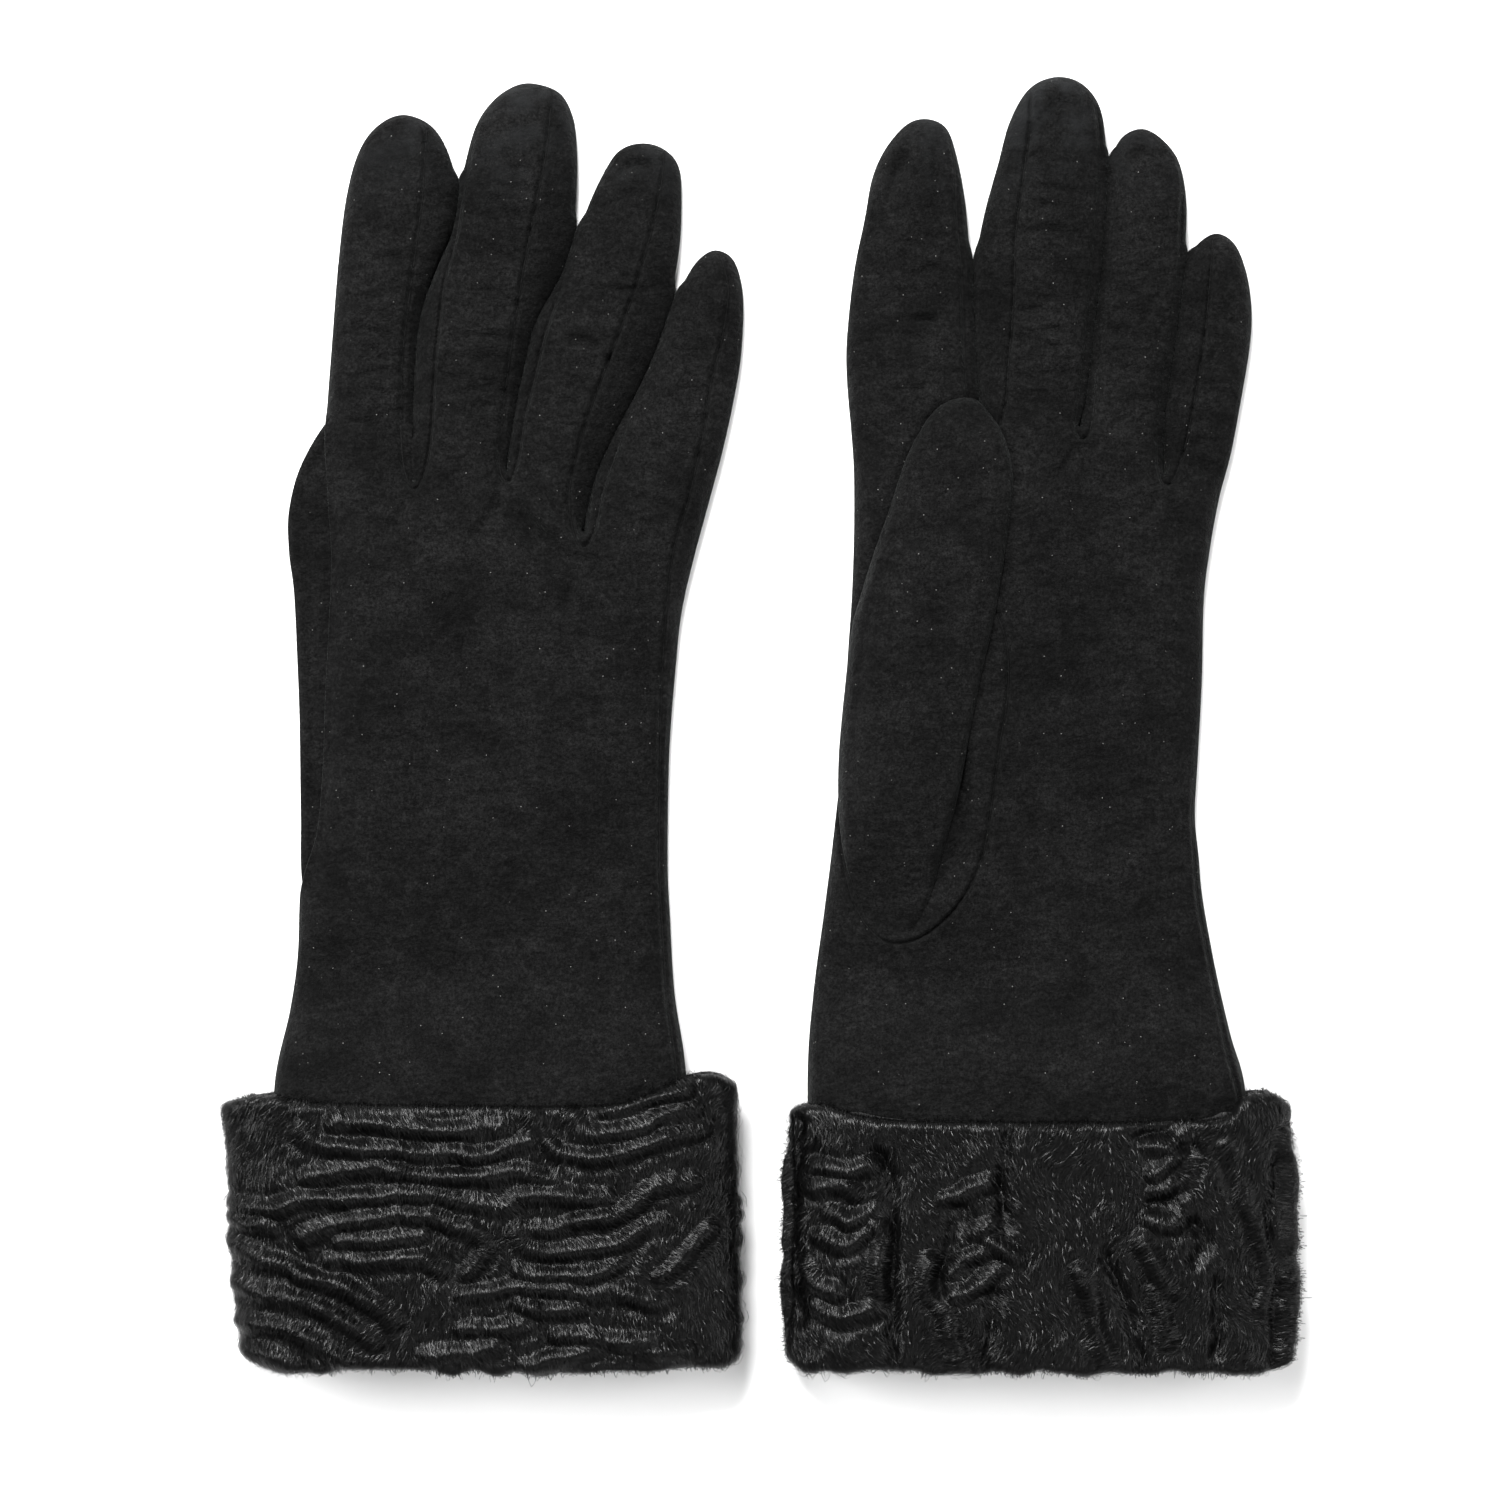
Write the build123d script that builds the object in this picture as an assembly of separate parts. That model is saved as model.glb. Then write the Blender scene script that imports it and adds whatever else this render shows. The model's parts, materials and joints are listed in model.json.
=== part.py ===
from build123d import *
import os
from math import atan2, degrees

# A pair of long suede dress gloves with turned-back lamb-fur cuffs, lying side by side.
# Millimetres. +X runs across the pair, +Y towards the fingertips, +Z up.
# The origin is at the middle of the pair's footprint, on the surface it lies on.
# The right-hand glove lies back up at -X, and the left-hand glove palm up at +X.

# ---- driving dimensions ---------------------------------------------------------------------
WALL = 0.8              # thickness of the suede
HAND_HEIGHT = 12.4      # outside height of the hand and the fingers
THUMB_HEIGHT = 6.0      # outside height of the thumb, which lies in a hollow of the palm
SIDE_SPLIT = 3.0        # height of the back panel's share of the side walls
BEND_GAP = 0.6          # room at each knuckle between the hand and the finger's end
SLOT_HALF = 0.45        # half the room between two neighbouring fingers
THUMB_GAP = 0.5         # room round the thumb's root
THUMB_FLOAT = 0.3       # room between the thumb and the palm beside it
THUMB_SWING = 40        # how far the thumb swings out, in degrees
FUR = 3.6               # pelt and pile of the cuff
FACING = 0.8            # lining of the turned-back cuff
HEM = 1.6               # seam ring that joins the wrist to the cuff at the bottom edge
LIFT = FUR + FACING     # how much higher the wrist lies than the hand
FLAT_END_Y = -48.0      # below this line the hand rises into its cuff
RISE_END_Y = -75.0      # above this line the wrist lies level in its cuff
BOTTOM_Y = -140.0       # lower edge of both cuffs
ROOT_DEPTH = 9.0        # how far a finger's outline reaches down into the hand
FORK_DEPTH = 4.0        # how far a fourchette reaches below its crotch
REACH = 300.0           # longer than anything here, for cutting
PAST = 1.0              # how far a cutting shape goes past what it cuts
ABOVE = 40.0            # a height above everything here
SLOT_RUN_ON = 12.0      # how far the room between two fingers goes on past its upper point
END_SPARE = 4.0         # spare half width of the shape that cuts off a finger's end
END_GROW = 0.2          # how much wider than the finger that shape's finger is
FORK_OVERLAP = 2.0      # how far a fourchette's strip starts behind the fingers' roots
SWEEP_STEP = 10         # the thumb's swing is cleared in steps of this many degrees

# Each finger: middle of its root, middle of its round tip, half width at the root,
# tip radius, and the knuckle's distance from the middle of the tip.
# Each crotch: its lowest point, and a point of the line between the two fingers above it.
RIGHT = {
    "palm_up": False,
    "fingers": {
        "index": ((-82.2, 54.1), (-77.1, 121.8), 10.3, 9.9, 40.0),
        "middle": ((-62.8, 54.1), (-49.6, 128.9), 10.5, 10.2, 44.0),
        "ring": ((-44.6, 48.5), (-24.4, 116.4), 9.7, 9.5, 42.0),
        "little": ((-24.6, 41.2), (-10.3, 95.8), 9.8, 7.3, 31.0),
    },
    "crotches": [
        ((-73.0, 54.0), (-68.5, 90.0)),
        ((-53.4, 54.2), (-45.2, 84.0)),
        ((-36.6, 43.0), (-26.3, 74.0)),
    ],
    "hand": [
        (-92.4, 56.0), (-96.8, 28.3), (-98.8, -6.1), (-99.0, -30.0), (-100.3, -57.9),
        (-103.3, -76.0), (-104.0, BOTTOM_Y), (-14.6, BOTTOM_Y), (-15.0, -76.0),
        (-18.0, -56.0), (-20.1, -27.0), (-20.1, -10.0), (-18.0, 19.7), (-14.0, 38.0),
        (-30.0, 47.0), (-45.0, 58.0), (-63.0, 62.0), (-82.0, 62.0),
    ],
    "cuff": (-116.4, -3.4, -77.0),
    "thumb": ((-85.4, 19.5), (-83.6, 61.4), 14.4, 9.0),
    "gusset": (-82.2, -9.0, 16.6, 34.0),
    "hollow": (-64.4, -44.6, 72.0),
}
LEFT = {
    "palm_up": True,
    "fingers": {
        "index": ((33.0, 64.8), (34.1, 121.8), 12.4, 9.6, 40.0),
        "middle": ((57.9, 65.5), (63.7, 129.4), 10.6, 10.6, 44.0),
        "ring": ((78.6, 59.9), (83.9, 119.6), 9.3, 9.1, 42.0),
        "little": ((94.3, 54.1), (99.7, 99.9), 7.3, 7.1, 31.0),
    },
    "crotches": [
        ((46.6, 64.0), (49.4, 112.0)),
        ((68.6, 65.4), (72.4, 100.0)),
        ((87.2, 54.4), (89.6, 80.0)),
    ],
    "hand": [
        (20.3, 64.8), (20.9, 40.0), (19.0, 12.8), (16.4, -14.1), (13.8, -40.0),
        (10.6, -73.0), (10.0, BOTTOM_Y), (106.0, BOTTOM_Y), (104.4, -76.9),
        (98.0, -48.0), (94.5, -27.0), (94.1, -6.3), (96.0, 28.1), (100.8, 52.0),
        (94.0, 60.0), (78.0, 68.0), (58.0, 72.0), (33.0, 72.0),
    ],
    "cuff": (5.0, 116.4, -79.5),
    "thumb": ((34.6, 17.5), (43.75, 62.2), 14.4, 9.0),
    "gusset": (35.2, -10.4, 17.6, 34.4),
    "hollow": (54.4, -45.6, 72.6),
}


# ---- small helpers --------------------------------------------------------------------------
def outline(points):
    """A flat face through the points."""
    return Polygon(*points, align=None)


def inset(points, amount):
    """The points of an outline, listed anticlockwise, moved inwards by the wall's thickness."""
    corners = [Vector(*point) for point in points]
    moved = []
    for before, here, after in zip(corners[-1:] + corners[:-1], corners, corners[1:] + corners[:1]):
        first = (here - before).normalized()
        second = (after - here).normalized()
        inward = Vector(-first.Y - second.Y, first.X + second.X)
        reach = amount / (1 + first.dot(second))
        moved.append((here.X + inward.X * reach, here.Y + inward.Y * reach))
    return moved


def box_face(x_low, x_high, y_low, y_high):
    """A rectangle given by its limits."""
    return outline([(x_low, y_low), (x_high, y_low), (x_high, y_high), (x_low, y_high)])


def prism(face, low=-PAST, high=ABOVE):
    """The face raised from the height low to the height high."""
    return Pos(0, 0, low) * extrude(face, amount=high - low, dir=(0, 0, 1))


def layer(low, high):
    """The space between two heights above the glove's underside, which rises into the cuff."""
    profile = outline([
        (REACH, low), (FLAT_END_Y, low), (RISE_END_Y, low + LIFT), (-REACH, low + LIFT),
        (-REACH, high + LIFT), (RISE_END_Y, high + LIFT), (FLAT_END_Y, high), (REACH, high),
    ])
    return extrude(Plane.YZ * profile, amount=REACH, both=True)


def heights(glove, low, high):
    """Heights measured from the glove's back, turned over where the glove lies palm down."""
    if glove["palm_up"]:
        return low, high
    return HAND_HEIGHT - high, HAND_HEIGHT - low


# ---- outlines in plan -----------------------------------------------------------------------
def finger_frame(finger):
    """Root, tip, direction towards the tip and direction to the finger's left."""
    root = Vector(*finger[0])
    tip = Vector(*finger[1])
    along = (tip - root).normalized()
    return root, tip, along, Vector(-along.Y, along.X)


def finger_face(finger, grow=0.0):
    """A finger seen from above: straight tapering sides and a round tip."""
    root, tip, along, side = finger_frame(finger)
    base = root - along * ROOT_DEPTH
    wide = finger[2] + grow
    slim = finger[3] + grow
    corners = [base + side * wide, base - side * wide, tip - side * slim, tip + side * slim]
    sides = outline([(c.X, c.Y) for c in corners])
    return sides + Pos(tip.X, tip.Y) * Circle(slim)


def crotch_slot(crotch, grow=0.0):
    """The narrow room between two fingers, from their crotch up."""
    low = Vector(*crotch[0])
    high = Vector(*crotch[1])
    along = (high - low).normalized()
    side = Vector(-along.Y, along.X) * (SLOT_HALF + grow)
    end = high + along * SLOT_RUN_ON
    low = low - along * grow
    corners = [low + side, low - side, end - side, end + side]
    return outline([(c.X, c.Y) for c in corners])


def glove_face(glove, shrink=0.0):
    """The whole hand with its four fingers seen from above, shrunk for its inside."""
    face = outline(inset(glove["hand"], shrink))
    for finger in glove["fingers"].values():
        face = face + finger_face(finger, -shrink)
    for crotch in glove["crotches"]:
        face = face - crotch_slot(crotch, shrink)
    return face


def end_face(finger, shift):
    """The part of a finger beyond its knuckle, started a little further on by shift."""
    _, tip, along, side = finger_frame(finger)
    start = tip - along * (finger[4] - shift)
    wide = side * (finger[2] + END_SPARE)
    far = start + along * REACH
    corners = [start + wide, start - wide, far - wide, far + wide]
    return finger_face(finger, END_GROW) & outline([(c.X, c.Y) for c in corners])


def fork_face(glove, number):
    """The strip between the middle lines of two neighbouring fingers."""
    names = list(glove["fingers"])
    first = finger_frame(glove["fingers"][names[number]])
    second = finger_frame(glove["fingers"][names[number + 1]])
    low = Vector(*glove["crotches"][number][0]) - Vector(0, FORK_DEPTH)
    roots = [one[0] - one[2] * FORK_OVERLAP for one in (first, second)]
    corners = [low, roots[0], first[1], second[1], roots[1]]
    return outline([(c.X, c.Y) for c in corners])


def thumb_face(glove, grow=0.0, turn=0.0):
    """The thumb seen from above: a wide round root and a smaller round tip."""
    root = Vector(*glove["thumb"][0])
    tip = Vector(*glove["thumb"][1])
    wide = glove["thumb"][2] + grow
    slim = glove["thumb"][3] + grow
    along = (tip - root).normalized()
    side = Vector(-along.Y, along.X)
    corners = [root + side * wide, root - side * wide, tip - side * slim, tip + side * slim]
    face = outline([(c.X, c.Y) for c in corners])
    face = face + Pos(root.X, root.Y) * Circle(wide) + Pos(tip.X, tip.Y) * Circle(slim)
    return face.rotate(Axis((root.X, root.Y, 0), (0, 0, 1)), turn)


def gusset_face(glove, shrink=0.0):
    """The oval of the thumb's root, sewn into the palm."""
    x, y, half_x, half_y = glove["gusset"]
    return Pos(x, y) * Ellipse(half_x - shrink, half_y - shrink)


# ---- solids ---------------------------------------------------------------------------------
def hand_shell(glove):
    """The hollow hand with its fingers, and with the hollow that the thumb lies in."""
    face = glove_face(glove)
    inner_face = glove_face(glove, WALL)
    right, low_y, high_y = glove["hollow"]
    floor = HAND_HEIGHT - THUMB_HEIGHT - THUMB_FLOAT
    hollow = box_face(right - REACH, right, low_y, high_y)
    lined = box_face(right - REACH, right + WALL, low_y - WALL, high_y + WALL)
    outer = prism(face) & layer(0, HAND_HEIGHT)
    outer = outer - prism(hollow, *heights(glove, floor, ABOVE))
    inner = prism(inner_face) & layer(WALL, HAND_HEIGHT - WALL)
    inner = inner - prism(lined, *heights(glove, floor - WALL, ABOVE))
    shell = outer - inner
    shell = shell - prism(box_face(-REACH, REACH, BOTTOM_Y - PAST, BOTTOM_Y + HEM))
    hole = prism(gusset_face(glove, 2 * WALL), *heights(glove, floor - WALL - PAST, HAND_HEIGHT))
    rim = prism(face - inner_face)
    return shell - hole, rim


def finger_ends(glove, shell):
    """The hand without its finger ends, and the four ends."""
    hand = shell
    ends = {}
    for name, finger in glove["fingers"].items():
        ends[name] = shell & prism(end_face(finger, BEND_GAP / 2))
        hand = hand - prism(end_face(finger, -BEND_GAP / 2))
    return hand, ends


def panels(glove, solid):
    """Back and palm leather of a hollow piece, parted along its sides."""
    back_space = layer(*heights(glove, 0, SIDE_SPLIT))
    return solid & back_space, solid - back_space


def thumb_pieces(glove):
    """The swinging thumb as an outer and an inner leather, open towards its root."""
    low = HAND_HEIGHT - THUMB_HEIGHT
    middle = low + THUMB_HEIGHT / 2
    root = Vector(*glove["thumb"][0])
    tube = prism(thumb_face(glove), *heights(glove, low, HAND_HEIGHT))
    room = prism(thumb_face(glove, -WALL), *heights(glove, low + WALL, HAND_HEIGHT - WALL))
    mouth_face = box_face(root.X - REACH, root.X + REACH, root.Y - REACH, root.Y - PAST)
    mouth = prism(mouth_face, *heights(glove, low + WALL, HAND_HEIGHT - WALL))
    tube = tube - room - mouth
    outer = tube & prism(box_face(-REACH, REACH, -REACH, REACH), *heights(glove, middle, ABOVE))
    return outer, tube - outer


def thumb_gusset(glove):
    """The fixed root of the thumb: a low dome on the palm, cut back where the thumb swings."""
    low = HAND_HEIGHT - THUMB_HEIGHT - THUMB_FLOAT
    dome = prism(gusset_face(glove), *heights(glove, low, HAND_HEIGHT))
    room = prism(gusset_face(glove, WALL), *heights(glove, low, HAND_HEIGHT - WALL))
    gusset = dome - room
    for turn in range(0, THUMB_SWING + 1, SWEEP_STEP):
        gusset = gusset - prism(thumb_face(glove, THUMB_GAP, turn))
    return gusset & prism(glove_face(glove))


def tube_band(x_low, x_high, y_low, y_high, z_low, z_high, thickness):
    """A flat tube along Y with walls of the given thickness."""
    outer = box_face(x_low, x_high, y_low, y_high)
    inner = box_face(x_low + thickness, x_high - thickness, y_low - PAST, y_high + PAST)
    return prism(outer, z_low, z_high) - prism(inner, z_low + thickness, z_high - thickness)


def cuff_pieces(glove):
    """Fur band, its facing, and the seam ring that joins them to the wrist."""
    x_low, x_high, y_high = glove["cuff"]
    top = HAND_HEIGHT + 2 * LIFT
    fur = tube_band(x_low, x_high, BOTTOM_Y, y_high, 0, top, FUR)
    inside = (x_low + FUR, x_high - FUR)
    facing = tube_band(*inside, BOTTOM_Y + HEM, y_high, FUR, top - FUR, FACING)
    ring = prism(box_face(*inside, BOTTOM_Y, BOTTOM_Y + HEM), FUR, top - FUR)
    wrist_x = [x for x, y in glove["hand"] if y == BOTTOM_Y]
    mouth_face = box_face(min(wrist_x) + WALL, max(wrist_x) - WALL, BOTTOM_Y - PAST, BOTTOM_Y + HEM)
    mouth = prism(mouth_face, LIFT + WALL, LIFT + HAND_HEIGHT - WALL)
    return fur, facing, ring - mouth


def glove_pieces(glove):
    """Every piece of one glove by name."""
    shell, rim = hand_shell(glove)
    side_space = layer(WALL, HAND_HEIGHT - WALL)
    hand, ends = finger_ends(glove, shell)
    names = list(glove["fingers"])
    pieces = {}
    for number in range(3):
        first, second = names[number], names[number + 1]
        strip = (prism(fork_face(glove, number)) & rim) & side_space
        pieces[f"fork_{first}_{second}"] = hand & strip
        pieces[f"{first}_fourchette_{second}_side"] = ends[first] & strip
        pieces[f"{second}_fourchette_{first}_side"] = ends[second] & strip
        hand = hand - strip
        ends[first] = ends[first] - strip
        ends[second] = ends[second] - strip
    pieces["back_panel"], pieces["palm_panel"] = panels(glove, hand)
    for name in names:
        pieces[f"{name}_back"], pieces[f"{name}_palm"] = panels(glove, ends[name])
    pieces["thumb_outer"], pieces["thumb_inner"] = thumb_pieces(glove)
    pieces["thumb_gusset"] = thumb_gusset(glove)
    pieces["cuff_fur"], pieces["cuff_facing"], pieces["cuff_hem"] = cuff_pieces(glove)
    return pieces


def knuckle_line(glove, finger):
    """Where a finger bends, and the direction of its axis, for the joint list."""
    _, tip, along, _ = finger_frame(finger)
    place = tip - along * finger[4]
    sign = 1 if glove["palm_up"] else -1
    height = HAND_HEIGHT if glove["palm_up"] else 0.0
    return (place.X, place.Y, height), (sign * along.Y, -sign * along.X, 0.0)


def main():
    os.makedirs("parts", exist_ok=True)
    for hand, glove in (("right", RIGHT), ("left", LEFT)):
        for name, solid in glove_pieces(glove).items():
            export_step(solid, f"parts/{hand}_{name}.step")
        for name, finger in glove["fingers"].items():
            place, axis = knuckle_line(glove, finger)
            lean = degrees(atan2(axis[1], axis[0]))
            print(f"{hand} {name} knuckle {place}, axis {axis}, leaning {lean:.1f} degrees")


main()
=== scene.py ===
"""A pair of long suede dress gloves with curly lamb cuffs, lying flat side by side.

Plans are in millimetres, in the frame's own axes: +X across the pair, +Y to the fingertips, +Z up.
"""

import json
import math

import bpy
import numpy as np
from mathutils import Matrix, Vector
from mathutils.geometry import delaunay_2d_cdt
from mathutils.kdtree import KDTree


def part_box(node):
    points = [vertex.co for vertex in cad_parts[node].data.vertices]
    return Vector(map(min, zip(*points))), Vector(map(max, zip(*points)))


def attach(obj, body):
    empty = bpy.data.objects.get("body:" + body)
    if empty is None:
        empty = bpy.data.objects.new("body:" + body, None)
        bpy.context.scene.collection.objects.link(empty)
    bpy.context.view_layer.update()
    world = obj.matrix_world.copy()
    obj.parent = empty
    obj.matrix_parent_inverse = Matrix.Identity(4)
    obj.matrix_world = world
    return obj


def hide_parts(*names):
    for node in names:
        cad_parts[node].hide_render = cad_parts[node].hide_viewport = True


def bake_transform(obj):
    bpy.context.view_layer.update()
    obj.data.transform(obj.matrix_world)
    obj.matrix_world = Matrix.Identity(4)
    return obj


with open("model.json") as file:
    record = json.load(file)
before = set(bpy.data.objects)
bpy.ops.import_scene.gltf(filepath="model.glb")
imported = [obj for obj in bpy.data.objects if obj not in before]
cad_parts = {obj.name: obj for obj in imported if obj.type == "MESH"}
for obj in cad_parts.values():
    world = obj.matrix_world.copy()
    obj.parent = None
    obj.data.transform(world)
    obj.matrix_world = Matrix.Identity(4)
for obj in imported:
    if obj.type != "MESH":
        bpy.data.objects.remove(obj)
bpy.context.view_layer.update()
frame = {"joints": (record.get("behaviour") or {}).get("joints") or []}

MM = 0.001
MOUTH_Y = -133.2          # lower end of the wrist, just inside the cuff's hem
FLAT_END_Y = -48.0        # below this the hand rises into its cuff
RISE_END_Y = -76.0
LIFT = 4.4                # how much higher the wrist lies than the hand
FINGERS = ("index", "middle", "ring", "little")
GRID = 0.92               # spacing of the leather's mesh
ROW_STEP = 0.866          # its rows, in grid spacings: even triangles
LINE_STEP = 0.8           # spacing of points along outlines and seams
RIM_ROWS = (0.15, 0.5, 1.0, 1.8, 2.8)       # rows of mesh along an outline, by distance
SEAM_ROWS = (-1.0, -0.45, 0.45, 1.0)        # rows of mesh beside a seam
RIM_Z = 2.2               # height of the hands' outline above the floor
CREASES = 13              # short folds at each finger joint
SPLIT_BELOW = 8.5         # a finger's own piece starts this far below its knuckle
FOLD_DEPTH = 2.4          # how much deeper the folds are cut than listed
TOUCHING, APART = 1.3, 2.4                  # gaps between fingers: closed below, left open above

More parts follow.
